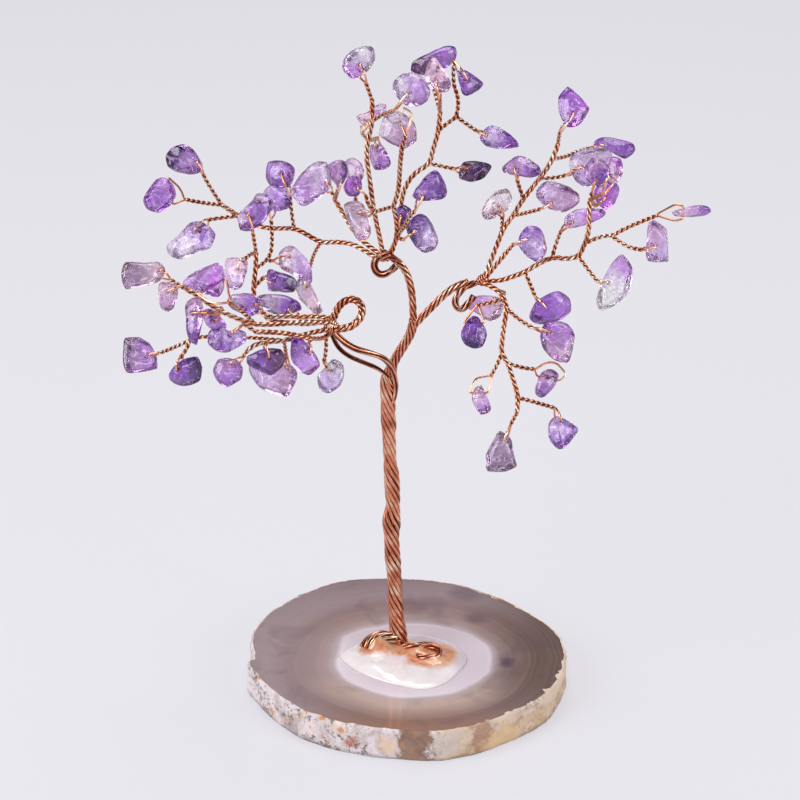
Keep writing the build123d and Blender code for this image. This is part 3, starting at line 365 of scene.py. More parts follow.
def agateRindFinish():
    look = rindLook
    finish, tree, shader = newFinish("agateRind")
    vector = mapped(tree)
    axes = axesOf(tree, vector)
    ragged = times(tree, plus(tree, noiseOf(tree, vector, *look["ragged"]), -0.5), look["raggedBy"])

    def patch(spot, size, share):
        uneven = times(tree, ragged, look["patchRagged"] * min(size, look["patchRaggedTo"]))
        return nearness(tree, vector, Vector(spot) * mm, look["patchCore"] * size * mm, size * mm, share, uneven)

    mottle = noiseOf(tree, vector, *look["mottle"])
    side = rampValue(tree, axes["X"], *look["side"])
    high = rampValue(tree, plus(tree, axes["Z"], ragged), *look["high"])
    rusted = noiseOf(tree, mapped(tree, (0.4, 0.1, 0)), *look["rusted"])
    crowds = noiseOf(tree, mapped(tree, (0.8, 0.2, 0)), *look["speckCrowds"])
    specks = plus(tree, noiseOf(tree, mapped(tree, (0.1, 0.7, 0)), *look["specks"]),
                  times(tree, plus(tree, crowds, -look["sparse"]), look["crowding"]))
    specks = rampValue(tree, plus(tree, specks, patch(*look["dark"])), *look["speckEdge"])
    specks = times(tree, specks, rampValue(tree, side, 0.0, 1.0, *look["speckShare"]))
    low = rampValue(tree, plus(tree, axes["Z"], times(tree, ragged, look["lowRagged"])), *look["low"])
    colour = mixColour(tree, side, rampOf(tree, mottle, look["left"]), rampOf(tree, mottle, look["right"]))
    for share, over in ((times(tree, high, side), look["crust"]),
                        (rampValue(tree, rusted, *look["crustEdge"]), look["crust"]),
                        (rampValue(tree, rusted, *look["rustEdge"]), look["rust"]),
                        (specks, look["speck"]),
                        (times(tree, low, noiseOf(tree, vector, *look["lineNoise"])), look["line"])):
        colour = mixColour(tree, share, colour, over)
    for spot, size, over, share in look["patches"]:
        colour = mixColour(tree, patch(spot, size, share), colour, over)
    fromWindow = mathOf(tree, "ABSOLUTE", plus(tree, plus(tree, axes["X"], -look["windowMiddle"]), ragged))
    window = times(tree, rampValue(tree, fromWindow, *look["windowHalf"]),
                   rampValue(tree, axes["Y"], *look["windowFront"]))
    brown = rampOf(tree, noiseOf(tree, vector, *look["windowShade"]), look["window"])
    feed(tree, shader, {"Base Color": mixColour(tree, window, colour, brown),
                        "Roughness": rampValue(tree, window, 0.0, 1.0, *look["roughness"])})
    grain = times(tree, noiseOf(tree, vector, *look["grain"]), rampValue(tree, window, 0.0, 1.0, 1.0, 0.0))
    addBump(tree, shader, grain, *look["grainBump"])
    return finish


# Only the front left of the puddle is white: behind the wires it is clear and cream, and golden close to them
glueSurface = {
    "white": [(0.38, (230, 218, 220)), (0.6, (240, 232, 234))], "cloud": (180, 4, 0.6),
    "gold": [(0.38, (246, 150, 98)), (0.58, (255, 200, 158))], "goldCloud": (330, 3, 0.5, 0.6),
    "goldEdge": (0.8, 1.15),
    "cream": (208, 193, 202), "creamFrom": (-4.5 * mm, -0.5 * mm), "slant": 0.55,
    "ragged": (260, 3), "raggedBy": 4 * mm, "clear": (0.06, 0.40), "roughness": 0.07, "ior": 1.45, "coat": 0.8,
    "coatRoughness": 0.04, "dent": (420, 3), "dentBump": (0.35, 0.4 * mm),
}


def glueFinish(spots):
    look = glueSurface
    finish, tree, shader = newFinish("clearGlue")
    vector = mapped(tree)
    axes = axesOf(tree, vector)
    ragged = times(tree, plus(tree, noiseOf(tree, vector, *look["ragged"]), -0.5), look["raggedBy"])
    near = 0.0
    inner, outer = look["goldEdge"]
    for middle, reach in spots:
        spot = nearness(tree, vector, middle, inner * reach, outer * reach, 1.0, ragged)
        near = mathOf(tree, "MAXIMUM", spot, near)
    slant = plus(tree, axes["Y"], times(tree, axes["X"], look["slant"]))
    cream = rampValue(tree, plus(tree, slant, ragged), *look["creamFrom"])
    colour = rampOf(tree, noiseOf(tree, vector, *look["cloud"]), look["white"])
    colour = mixColour(tree, cream, colour, look["cream"])
    gold = rampOf(tree, noiseOf(tree, vector, *look["goldCloud"]), look["gold"])
    feed(tree, shader, {"Base Color": mixColour(tree, near, colour, gold),
                        "Transmission Weight": rampValue(tree, near, 0.0, 1.0, *look["clear"]),
                        "Roughness": look["roughness"], "IOR": look["ior"], "Coat Weight": look["coat"],
                        "Coat Roughness": look["coatRoughness"]})
    addBump(tree, shader, noiseOf(tree, vector, *look["dent"]), *look["dentBump"])
    return finish


print("finishes ready")


def finishPiece(piece, finishes, body, node):
    for finish in finishes:
        piece.data.materials.append(finish)
    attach(piece, body)
    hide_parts(node)
    return piece


def meshPiece(name, form):
    mesh = bpy.data.meshes.new(name)
    form.to_mesh(mesh)
    form.free()
    piece = bpy.data.objects.new(name, mesh)
    scene.collection.objects.link(piece)
    return piece


# A flat face inside a closed line, from which a piece is raised by its edges
def cappedLine(line):
    form = bmesh.new()
    ring = bmesh.ops.create_circle(form, cap_ends=True, segments=len(line), radius=1.0)["verts"]
    for vertex, spot in zip(ring, line):
        vertex.co = spot
    return form, ring, form.edges[:]


def raisedEdges(form, edges):
    grown = bmesh.ops.extrude_edge_only(form, edges=edges)["geom"]
    return ([item for item in grown if isinstance(item, bmesh.types.BMEdge)],
            [item for item in grown if isinstance(item, bmesh.types.BMVert)])


def closeForm(form, edges):
    bmesh.ops.contextual_create(form, geom=edges)
    bmesh.ops.recalc_face_normals(form, faces=form.faces[:])


# A closed smooth line through points
def closedLine(points, fine, bend=0.5):
    line = []
    count = len(points)
    for i in range(count):
        a, b, c, d = (points[(i + k) % count] for k in (-1, 0, 1, 2))
        leave, arrive = (c - a) * bend, (d - b) * bend
        for k in range(fine):
            t = k / fine
            line.append(b * (2 * t ** 3 - 3 * t ** 2 + 1) + leave * (t ** 3 - 2 * t ** 2 + t)
                        + c * (3 * t ** 2 - 2 * t ** 3) + arrive * (t ** 3 - t ** 2))
    return line


def curveMesh(points, kind, splineLook, curveLook):
    curve = bpy.data.curves.new("line", "CURVE")
    curve.dimensions = "3D"
    spline = curve.splines.new(kind)
    spline.points.add(len(points) - 1)
    for target, point in zip(spline.points, points):
        target.co = (*point, 1.0)
    for owner, look in ((spline, splineLook), (curve, curveLook)):
        for name, value in look.items():
            setattr(owner, name, value)
    holder = bpy.data.objects.new("line", curve)
    mesh = bpy.data.meshes.new_from_object(holder)
    bpy.data.objects.remove(holder)
    bpy.data.curves.remove(curve)
    return mesh


# A smooth line through a route, read from a NURBS spline and spaced evenly
def smoothLine(route, step):
    mesh = curveMesh(route, "NURBS", {"order_u": 3, "use_endpoint_u": True, "resolution_u": 10}, {})
    spots = [vertex.co.copy() for vertex in mesh.vertices]
    bpy.data.meshes.remove(mesh)
    return evenly(spots, step)


def lineLength(spots):
    return sum((b - a).length for a, b in zip(spots, spots[1:]))


def evenly(spots, step):
    total = lineLength(spots)
    count = max(2, round(total / step))
    evened = [spots[0].copy()]
    run = 0.0
    i = 0
    for target in [total * k / count for k in range(1, count)]:
        while run + (spots[i + 1] - spots[i]).length < target:
            run += (spots[i + 1] - spots[i]).length
            i += 1
        share = (target - run) / (spots[i + 1] - spots[i]).length
        evened.append(spots[i].lerp(spots[i + 1], share))
    evened.append(spots[-1].copy())
    return evened


# Two directions across the line at each of its points, turned as little as possible
def crossWays(spots):
    ways = []
    along = (spots[1] - spots[0]).normalized()
    start = Vector((0, -1, 0)) if abs(along.y) < 0.8 else Vector((0, 0, 1))
    first = (start - along * start.dot(along)).normalized()
    for i in range(len(spots)):
        along = (spots[min(i + 1, len(spots) - 1)] - spots[max(i - 1, 0)]).normalized()
        first = (first - along * first.dot(along)).normalized()
        ways.append((first.copy(), along.cross(first)))
    return ways


# One strand of a twist: it winds round the line at a distance that may vary
def strand(spots, ways, angle, reach, pitch, spread=None):
    points = []
    run = 0.0
    for i, spot in enumerate(spots):
        if i:
            run += (spots[i] - spots[i - 1]).length
        swell = spread(i, run) if spread else 1.0
        turn = angle - 2 * math.pi * run / pitch
        first, second = ways[i]
        points.append(spot + (first * math.cos(turn) + second * math.sin(turn)) * (reach * swell))
    return points


# The wires of a twist round a line, each with its points, its radius in mm and the line
def twist(spots, count, reach, pitch, wire, angle=0.0):
    ways = crossWays(spots)
    return [(strand(spots, ways, angle + 2 * math.pi * i / count, reach * mm, pitch * mm), wire, spots)
            for i in range(count)]


# Wires are drawn as round curves along their points, then joined as one mesh. A surface that faces outward from
# the line that its wire winds round counts 1, and one that faces that line -1. Below grooveFrom it is marked for
# painted shade between the strands, fully so once it is grooveSpan lower
wireMesh = {"onLine": 0.02, "grooveFrom": 0.80, "grooveSpan": 0.6}


def wirePiece(name, wires, node, sides=2):
    form = bmesh.new()
    grooveShade = form.verts.layers.float.new("grooveShade")
    for points, radius, line in wires:
        tube = curveMesh(points, "POLY", {}, {"bevel_mode": "ROUND", "bevel_depth": radius * mm,
                                              "bevel_resolution": sides})
        around = len(tube.vertices) // len(points)
        first = len(form.verts)
        form.from_mesh(tube)
        bpy.data.meshes.remove(tube)
        form.verts.ensure_lookup_table()
        for i, point in enumerate(points):
            middle = line[i] if line else None
            if middle is None or (point - middle).length < wireMesh["onLine"] * mm:
                continue
            away = (point - middle).normalized()
            for vertex in form.verts[first + i * around:first + (i + 1) * around]:
                outward = (vertex.co - point).normalized().dot(away)
                vertex[grooveShade] = min(1.0, max(0.0, (wireMesh["grooveFrom"] - outward) / wireMesh["grooveSpan"]))
    bmesh.ops.holes_fill(form, edges=[edge for edge in form.edges if edge.is_boundary], sides=0)
    bmesh.ops.recalc_face_normals(form, faces=form.faces[:])
    piece = meshPiece(name, form)
    piece.data.shade_smooth()
    # Spray wires take the copper painted lighter as lit, all other wires the copper painted darker as shaded
    copper = coppers["litTwigCopper" if node.endswith("_spray") else "shadedTrunkCopper"]
    return finishPiece(piece, [copper], "tree", node)


# The trunk's line in pixels, and how far the bundle swells at each of its points, as a share of its radius.
# Lengths are in mm
trunkLook = {
    "line": [(392, 366), (388, 378), (387.5, 400), (388.5, 420), (389.5, 440), (390, 460), (392, 480),
             (393, 505), (391.5, 520), (391.5, 540), (393, 560), (394.5, 580), (395, 600), (396.5, 620),
             (399, 636), (400, 650)],
    "swells": [0.68, 0.98, 0.95, 0.95, 0.84, 0.84, 1.02, 0.9, 1.18, 0.96, 1.0, 0.95, 1.05, 1.0, 1.12, 1.2],
    "step": 0.4, "radius": 1.72, "strands": 9, "wire": 0.46, "pitch": 20.0, "core": 0.85,
    "stray": 0.20, "strayLength": 7.0, "uneven": 0.16,
    "collar": {"strands": 3, "top": 1, "bottom": 9, "pitch": 13.0, "wire": 0.36, "lift": 0.22, "start": 0.3,
               "apart": 0.55, "sink": 0.9, "sinkFrom": 0.7},
}


def trunkBundle():
    look = trunkLook
    line = [place(px, py, 0) for px, py in look["line"]]
    spots = smoothLine(line, look["step"] * mm)
    heights = [spot.z for spot in line]
    swells = look["swells"]

    def radiusAt(z):
        for i in range(len(heights) - 1):
            if heights[i] >= z >= heights[i + 1]:
                share = (heights[i] - z) / (heights[i] - heights[i + 1])
                share = share * share * (3 - 2 * share)
                return look["radius"] * (swells[i] + (swells[i + 1] - swells[i]) * share)
        return look["radius"] * (swells[0] if z > heights[0] else swells[-1])

    ways = crossWays(spots)
    wires = []
    for k in range(look["strands"]):
        def spread(i, run, k=k):
            stray = noise.noise(Vector((2.9 * k, run / mm / look["strayLength"], 3.7)))
            return radiusAt(spots[i].z) - look["wire"] + look["stray"] * stray
        angle = 2 * math.pi * k / look["strands"] + look["uneven"] * noise.noise(Vector((k * 1.7, 0.3, 0.1)))
        wires.append((strand(spots, ways, angle, mm, look["pitch"] * mm, spread), look["wire"], spots))
    wires.append((spots, look["core"], None))

    # A few wires are wound tighter over the top of the bundle, where the limbs leave it
    collar = look["collar"]
    first, last = (min(range(len(spots)), key=lambda i: abs(lineLength(spots[:i + 1]) - reach * mm))
                   for reach in (collar["top"], collar["bottom"]))
    wound = spots[first:last]
    for k in range(collar["strands"]):
        def outside(i, run):
            toEnd = max(0.0, abs(2 * i / (last - first) - 1) - collar["sinkFrom"]) / (1 - collar["sinkFrom"])
            return radiusAt(wound[i].z) + collar["lift"] - collar["wire"] - collar["sink"] * toEnd
        angle = collar["apart"] * k + collar["start"]
        wires.append((strand(wound, ways[first:last], angle, mm, collar["pitch"] * mm, outside),
                      collar["wire"], wound))
    print("trunk", round(lineLength(spots) / mm), "mm,", len(wires), "wires")
    return wirePiece("trunk_bundle", wires, "trunk")


trunkBundle()

# Outer is the whole twist's diameter and wire a strand's radius, in mm. The knot is the lump where the twigs'
# wires are wound into the rope's end
ropeLooks = {
    "fork_rope": {"route": [(389, 378, 0), (392, 366, 0), (397, 356, 0), (406, 342, 0), (412, 331, 0),
                            (414, 319, 0)],
                  "outer": 2.1, "wire": 0.30, "strands": 7, "pitch": 11.0},
    "middle_limb_rope": {"route": [(413.5, 324, 0), (413, 303, -1), (411, 286, -3), (406, 271, -6),
                                   (397, 260, -9), (386, 254, -14)],
                         "outer": 1.6, "wire": 0.29, "strands": 5, "pitch": 9.0},
    "right_limb_rope": {"route": [(413, 327, 0), (421, 318, 2), (432, 307, 4), (446, 293, 6), (458, 285, 7),
                                  (468, 282, 8)],
                        "outer": 1.6, "wire": 0.29, "strands": 5, "pitch": 9.0},
    "left_limb_bundle": {"route": [(389, 408, 0), (394, 398, 3), (396, 384, 6), (393, 369, 11), (385, 358, 20),
                                   (370, 353, 26), (352, 348, 29), (337, 336, 30), (333, 329, 30)],
                         "outer": 1.4, "wire": 0.29, "strands": 4, "pitch": 55.0},
    "left_limb_pair": {"route": [(391, 394, 2), (390, 380, 8), (380, 369, 16), (362, 362, 21), (346, 355, 24),
                                 (335, 344, 26), (331, 332, 28)],
                       "outer": 1.0, "wire": 0.25, "strands": 2, "pitch": 70.0},
    "left_root": {"route": [(399, 640, 3), (390, 637, 5), (379, 636, 6), (369, 641, 9), (364, 648, 13)],
                  "outer": 2.7, "wire": 0.42, "strands": 6, "pitch": 18.0},
    "left_ring_tie": {"route": [(330, 329, 22), (334, 316, 20), (340, 304, 19), (351, 298, 20), (361, 303, 24),
                                (363, 313, 28), (357, 323, 32), (346, 329, 35), (334, 329, 36)],
                      "outer": 1.7, "wire": 0.32, "strands": 4, "pitch": 5.2,
                      "knot": (331, 327, 29), "knotWidth": 3.5, "knotAlong": (-1.0, 0.1, 0.2), "turns": 4},
    "middle_curl_tie": {"route": [(390, 255, -6), (379, 256, -2), (373, 264, 0), (377, 274, -2), (387, 275, -6),
                                  (396, 266, -10)],
                        "outer": 1.6, "wire": 0.29, "strands": 4, "pitch": 18.0,
                        "knot": (384, 256, -13), "knotWidth": 2.8, "knotAlong": (-0.3, 0.1, 1.0), "turns": 3},
    "right_hook_tie": {"route": [(482, 281, 8), (466, 285, 10), (458, 294, 13), (454, 303, 15), (459, 311, 15),
                                 (467, 306, 13), (474, 296, 11)],
                       "outer": 1.5, "wire": 0.28, "strands": 4, "pitch": 10.0,
                       "knot": (483, 280, 9), "knotWidth": 2.8, "knotAlong": (1.0, 0.0, 0.5), "turns": 3},
}
ropeMake = {"step": 0.3, "start": 0.4, "coreFrom": 5, "coreShare": 0.7}
knotMake = {"windings": 0.75, "perTurn": 20, "length": 0.8, "wire": 0.8, "taper": 0.8, "coreLength": 0.7,
            "core": 0.6}


def ropeWires(look):
    spots = smoothLine([place(*point) for point in look["route"]], ropeMake["step"] * mm)
    reach = look["outer"] / 2 - look["wire"]
    wires = twist(spots, look["strands"], reach, look["pitch"], look["wire"], ropeMake["start"])
    if look["strands"] >= ropeMake["coreFrom"]:
        wires.append((spots, ropeMake["coreShare"] * reach, None))
    return wires


def knotWires(look):
    middle = place(*look["knot"])
    along = Vector(look["knotAlong"]).normalized()
    side = along.orthogonal().normalized()
    other = along.cross(side)
    half = look["knotWidth"] / 2
    count = knotMake["perTurn"] * look["turns"]
    wires = []
    for way in (1, -1):
        spots, line = [], []
        for i in range(count + 1):
            share = 2 * i / count - 1
            angle = way * look["turns"] * 2 * math.pi * knotMake["windings"] * share
            width = (half - look["wire"]) * math.sqrt(max(0.05, 1 - knotMake["taper"] * share * share))
            line.append(middle + along * (knotMake["length"] * half * share * way * mm))
            spots.append(line[-1] + (side * math.cos(angle) + other * math.sin(angle)) * (width * mm))
        wires.append((spots, knotMake["wire"] * look["wire"], line))
    end = along * (knotMake["coreLength"] * half * mm)
    wires.append(([middle - end, middle + end], knotMake["core"] * half, None))
    return wires


for nodeName, look in ropeLooks.items():
    knot = knotWires(look) if "knot" in look else []
    wirePiece(nodeName + "_wires", ropeWires(look) + knot, nodeName)

# The coil's middle and its route's start are in mm from the foot. It starts wide and high, and winds inward
coilLook = {"middle": (5.95, -4.32, 1.2), "start": (0.51, -1.36, 1.5), "width": 7.0, "depth": 5.4, "rise": 1.35,
            "inward": 0.35, "angles": (150, -330), "points": 8, "outer": 1.6, "wire": 0.36, "strands": 4,
            "pitch": 16.0}


def rightCoil():
    look = coilLook
    centre = view["foot"] + Vector(look["middle"]) * mm
    route = [view["foot"] + Vector(look["start"]) * mm]
    for i in range(look["points"] + 1):
        share = i / look["points"]
        angle = math.radians(look["angles"][0] + look["angles"][1] * share)
        reach = (1 - look["inward"] * share) / 2
        along, toward = look["width"] * reach * math.cos(angle), look["depth"] * reach * math.sin(angle)
        route.append(centre + Vector((along, toward, look["rise"] * (1 - share))) * mm)
    spots = smoothLine(route, ropeMake["step"] * mm)
    wires = twist(spots, look["strands"], look["outer"] / 2 - look["wire"], look["pitch"], look["wire"])
    return wirePiece("right_root_coil_wires", wires, "right_root_coil")


rightCoil()
print("limbs, ties and foot ready")

# A spray's points are pixels across and down in the view and pixels toward the viewer, and its stem runs along
# some of them. Each of its stones has a row: its node, the points that its twig follows, where the wires part,
# the drilled hole, how far toward the viewer it stands, its lean in degrees, its share of the full thickness,
# its two tints, the way from one to the other in degrees, and its outline. A hole of four numbers runs across
# the stone. Out and back are corners of the loop on each side of it, legs are all of a loop's corners with the
# side and share of the height that each has, lift raises the loop's joint, and trim shrinks a stone
sprays = {
    "left_high_spray": {
        "stem": "abcdefgh", "points": {"a": (330, 320, 22), "b": (312, 325, 18), "c": (290, 323, 8),
            "d": (268, 321, 0), "e": (255, 303, -10), "f": (253, 288, -16), "g": (256, 268, -24),
            "h": (256, 252, -30), "k": (269, 261, -34), "m": (273, 241, -44), "n": (249, 254, -18)},
        "stones": [
            ("left_high_chips", "h", (253, 233), (246, 213), -28, (-12, 14), 1.05, "lilac purple", -30,
             [238, 215, 250, 203, 258, 193, 268, 195, 273, 205, 265, 221, 250, 231, 240, 230]),
            ("left_high_chips", "gkm", (271, 219), (273, 204), -57, (18, -16), 0.95, "lilac violet", -20,
             [262, 193, 268, 187, 277, 186, 285, 189, 291, 199, 289, 207, 277, 211, 266, 209]),
            ("left_high_chips", "hn", (245, 259), (240, 271), -6, (16, -20), 0.9, "rose lilac", -90,
             [226, 260, 239, 258, 248, 264, 245, 276, 241, 288, 231, 290, 225, 282]),
            ("left_high_chips", "k", (274, 261), (289, 259), -36, (22, 10), 1.0, "mist orchid", -40,
             [279, 252, 285, 245, 295, 248, 307, 260, 312, 272, 311, 283, 293, 274, 280, 267]),
            ("left_high_chips", "f", (264, 277), (273, 280), -12, (-20, -14), 0.95, "violet indigo", -20,
             [267, 270, 280, 273, 293, 277, 297, 284, 294, 292, 282, 292, 269, 291]),
        ],
    },
    "left_outer_spray": {
        "stem": "abcdefghk", "points": {"a": (330, 323, 33), "b": (308, 321, 44), "c": (284, 324, 53),
            "d": (256, 325, 58), "e": (240, 320, 60), "f": (222, 312, 58), "g": (209, 304, 55),
            "h": (196, 294, 53), "k": (187, 290, 51), "m": (246, 315, 66), "n": (234, 305, 72)},
        "stones": [
            ("left_outer_chips", "k", (171, 280), (158, 272), 49, (14, 18), 0.95, "smoke rose", 0,
             [124, 263, 144, 263, 160, 262, 166, 271, 160, 281, 146, 286, 126, 289, 121, 284]),
            ("left_pink_drop_chip", "k", (186, 283), (170, 291), 58, (-10, -22), 0.85, "rose mauve", -90,
             [160, 283, 168, 281, 177, 283, 178, 293, 174, 307, 168, 312, 161, 307, 159, 294]),
            ("left_outer_chips", "dmn", (229, 302), (207, 288, 222, 281), 76, (20, -12), 1.05, "lilac magenta",
             -10,
             [183, 284, 194, 273, 207, 266, 219, 263, 224, 271, 224, 288, 217, 298, 203, 294],
             {"out": [218, 304, 207, 301]}),
            ("left_outer_chips", "f", (207, 314), (196, 314), 78, (8, -30), 0.85, "mauve purple", -60,
             [186, 299, 194, 296, 202, 301, 202, 321, 198, 341, 193, 349, 188, 334, 187, 315]),
            ("left_outer_chips", "f", (221, 308), (213, 320), 36, (-18, 20), 0.8, "orchid violet", -45,
             [203, 309, 213, 310, 222, 318, 227, 327, 218, 331, 208, 327, 203, 318]),
        ],
    },
    "left_low_spray": {
        "stem": "abcdefg", "points": {"a": (330, 329, 35), "b": (314, 332, 43), "c": (299, 336, 50),
            "d": (284, 341, 56), "e": (268, 342, 60), "f": (255, 344, 60), "g": (248, 350, 60),
            "h": (248, 337, 46), "k": (226, 338, 38), "m": (204, 336, 34), "n": (190, 340, 33),
            "p": (176, 347, 31), "r": (187, 350, 38)},
        "stones": [
            ("left_low_corner_chip", "dhkmnp", (161, 353), (147, 356), 29, (10, 20), 0.95, "smoke orchid", -20,
             [123, 341, 132, 334, 144, 336, 152, 347, 160, 364, 157, 369, 142, 372, 126, 373, 122, 362]),
            ("left_low_chips", "nr", (180, 358), (180, 368), 44, (-16, -18), 1.05, "purple indigo", 20,
             [176, 364, 186, 358, 199, 357, 202, 366, 199, 382, 183, 386, 173, 383, 169, 374]),
            ("left_low_round_chip", "g", (243, 357), (232, 365), 60, (12, -12), 0.85, "mauve violet", -60,
             [218, 360, 229, 358, 239, 361, 243, 368, 241, 379, 227, 387, 218, 382, 213, 372]),
            ("left_low_chips", "e", (265, 343), (267, 356), 84, (-14, 16), 0.95, "purple plum", 0,
             [246, 357, 257, 351, 270, 348, 281, 349, 286, 358, 281, 369, 272, 376, 257, 370, 246, 364]),
            ("left_low_chips", "d", (287, 358), (289, 370), 50, (16, -10), 1.1, "lilac mauve", -50,
             [246, 365, 262, 366, 278, 367, 290, 364, 299, 375, 296, 389, 292, 397, 276, 395, 260, 388, 250,
              375]),
        ],
    },
    "left_near_spray": {
        "stem": "abcde", "points": {"a": (330, 318, 30), "b": (318, 316, 28), "c": (306, 317, 24),
            "d": (288, 316, 24), "e": (270, 317, 24)},
        "stones": [
            ("left_near_chips", "e", (262, 312), (253, 307), 22, (20, 16), 0.9, "ash violet", 0,
             [229, 297, 238, 293, 250, 293, 258, 300, 259, 312, 250, 317, 236, 311, 227, 305]),
            ("left_near_chips", "c", (299, 318), (290, 307), 9, (-16, -10), 0.95, "ash purple", -40,
             [257, 296, 272, 294, 287, 296, 299, 302, 304, 310, 294, 313, 282, 316, 268, 312, 259, 305]),
        ],
    },
    "left_under_spray": {
        "stem": "abcdef", "points": {"a": (332, 331, 27), "b": (326, 338, 36), "c": (312, 339, 58),
            "d": (296, 335, 68), "e": (276, 332, 76), "f": (256, 332, 82), "g": (327, 352, 42)},
        "stones": [
            ("left_near_chips", "f", (244, 324), (230, 335), 90, (14, 14), 1.0, "lilac violet", -100,
             [209, 331, 219, 326, 228, 331, 241, 330, 249, 336, 244, 343, 229, 352, 217, 351, 208, 343]),
            ("left_near_chips", "c", (309, 343), (307, 352), 60, (-12, 20), 1.0, "purple orchid", -30,
             [290, 338, 300, 337, 311, 348, 318, 359, 320, 368, 311, 376, 299, 371, 291, 358]),
            ("left_clear_hanging_chip", "bg", (324, 361), (330, 371), 44, (8, -14), 0.85, "snow lilac", -100,
             [325, 367, 334, 358, 344, 363, 345, 376, 340, 388, 328, 395, 318, 390, 317, 377],
             {"trim": 0.93}),
        ],
    },
    "middle_far_left_spray": {
        "stem": "abcdefghkmn", "points": {"a": (378, 259, -14), "b": (364, 250, -22), "c": (350, 243, -28),
            "d": (335, 242, -34), "e": (321, 243, -40), "f": (306, 234, -48), "g": (294, 228, -54),
            "h": (274, 229, -62), "k": (256, 226, -68), "m": (238, 216, -72), "n": (222, 205, -74),
            "p": (209, 187, -76), "r": (201, 203, -66), "s": (218, 218, -64), "t": (291, 211, -66),
            "u": (312, 254, -48)},
        "stones": [
            ("middle_left_chips", "np", (203, 174), (195, 161), -78, (-10, 18), 1.0, "indigo orchid", -30,
             [173, 147, 184, 144, 193, 149, 202, 163, 202, 171, 192, 175, 177, 172, 167, 166, 166, 155]),
            ("left_top_outer_chip", "nr", (184, 199), (169, 183, 172, 200), -58, (8, 12), 1.05, "orchid violet",
             -110,
             [156, 179, 167, 178, 174, 186, 176, 196, 171, 205, 159, 213, 147, 209, 143, 200, 149, 187],
             {"out": [180, 188]}),
            ("left_long_pale_chip", "ms", (208, 220), (197, 233), -58, (16, -14), 0.9, "mist violet", 25,
             [190, 223, 201, 221, 211, 227, 217, 237, 215, 246, 197, 252, 181, 259, 168, 257, 167, 246, 181,
              233]),
            ("middle_left_chips", "gt", (290, 194), (284, 175), -82, (10, -16), 1.0, "purple orchid", 45,
             [268, 161, 287, 162, 295, 169, 293, 180, 287, 188, 272, 188, 266, 178]),
            ("middle_left_chips", "eu", (309, 274), (307, 287), -66, (-14, -20), 0.8, "ash rose", -60,
             [296, 281, 304, 277, 312, 287, 319, 301, 323, 314, 313, 314, 303, 303, 296, 294]),
        ],
    },
    "middle_near_left_spray": {
        "stem": "abcde", "points": {"a": (381, 255, -17), "b": (364, 243, -32), "c": (352, 229, -44),
            "d": (343, 213, -52), "e": (335, 200, -56)},
        "stones": [
            ("middle_left_chips", "e", (332, 192), (324, 185), -62, (14, 16), 1.05, "mist orchid", -120,
             [309, 166, 321, 160, 330, 166, 331, 186, 322, 196, 305, 206, 293, 203, 292, 188, 300, 175]),
            ("middle_left_chips", "e", (338, 190), (340, 181), -38, (-18, 8), 0.9, "mauve purple", -20,
             [328, 165, 337, 160, 346, 162, 348, 172, 344, 182, 338, 187, 331, 178]),
            ("middle_left_chips", "c", (356, 196), (355, 180), -66, (12, -18), 0.8, "ash mauve", 0,
             [346, 160, 355, 158, 363, 166, 364, 177, 357, 184, 348, 180, 344, 170]),
        ],
    },
    "middle_tall_spray": {
        "stem": "abcdefgh", "points": {"a": (383, 254, -10), "b": (379, 234, -8), "c": (374, 212, -8),
            "d": (370, 182, -12), "e": (366, 156, -16), "f": (368, 140, -18), "g": (373, 121, -20),
            "h": (372, 100, -22), "k": (386, 112, -12), "m": (367, 205, 2)},
        "stones": [
            ("middle_top_chip", "h", (366, 83), (358, 66), -26, (10, 14), 0.95, "snow orchid", -120,
             [344, 59, 352, 50, 365, 46, 374, 47, 375, 61, 368, 71, 356, 79, 347, 76, 342, 68]),
            ("middle_round_chip", "gk", (394, 111), (409, 93), 2, (-12, -12), 1.05, "snow orchid", -10,
             [392, 84, 400, 75, 411, 72, 422, 77, 430, 89, 428, 100, 418, 107, 405, 106, 396, 98]),
            ("middle_tall_chips", "f", (362, 133), (366, 121), -44, (-10, 20), 0.8, "rose lilac", 30,
             [357, 116, 368, 112, 378, 104, 386, 104, 385, 112, 376, 121, 366, 128, 359, 124]),
            ("middle_tall_chips", "f", (378, 138), (378, 149), -36, (16, -18), 0.9, "mauve violet", -60,
             [371, 144, 380, 143, 388, 153, 391, 163, 385, 170, 375, 170, 370, 158]),
            ("middle_tall_chips", "cm", (366, 195), (356, 187), 0, (-14, 12), 0.85, "magenta purple", -30,
             [343, 187, 349, 177, 360, 177, 362, 187, 358, 196, 348, 196]),
        ],
    },
    "middle_right_spray": {
        "stem": "abcdefg", "points": {"a": (390, 256, -12), "b": (398, 238, -10), "c": (396, 216, -8),
            "d": (393, 206, -6), "e": (399, 190, -4), "f": (400, 165, 4), "g": (402, 148, 14),
            "h": (404, 228, 6), "k": (409, 217, 16), "m": (380, 210, 6)},
        "stones": [
            ("middle_pink_drop_chip", "dm", (371, 213), (361, 215), 15, (12, -14), 0.95, "ash rose", -70,
             [344, 205, 355, 200, 364, 205, 369, 219, 371, 233, 366, 241, 357, 239, 349, 225]),
            ("middle_right_chips", "g", (403, 135), (400, 125), -10, (-8, 10), 1.0, "ash mauve", -30,
             [384, 117, 395, 110, 406, 115, 416, 125, 417, 141, 408, 150, 391, 144, 378, 133],
             {"legs": [(400, 125, 1.0), (400, 125, -1.0), (405, 108, -0.9), (410, 112, 0.9), (408, 124, 1.1)],
              "lift": 1.35}),
            ("middle_triangle_chip", "bhk", (415, 211), (421, 195), 14, (-10, 12), 1.0, "violet deep", -10,
             [411, 200, 417, 187, 428, 174, 436, 170, 442, 177, 448, 192, 442, 199, 425, 201]),
            ("middle_right_chips", "b", (401, 231), (404, 217), -16, (10, -24), 0.8, "purple deep", -90,
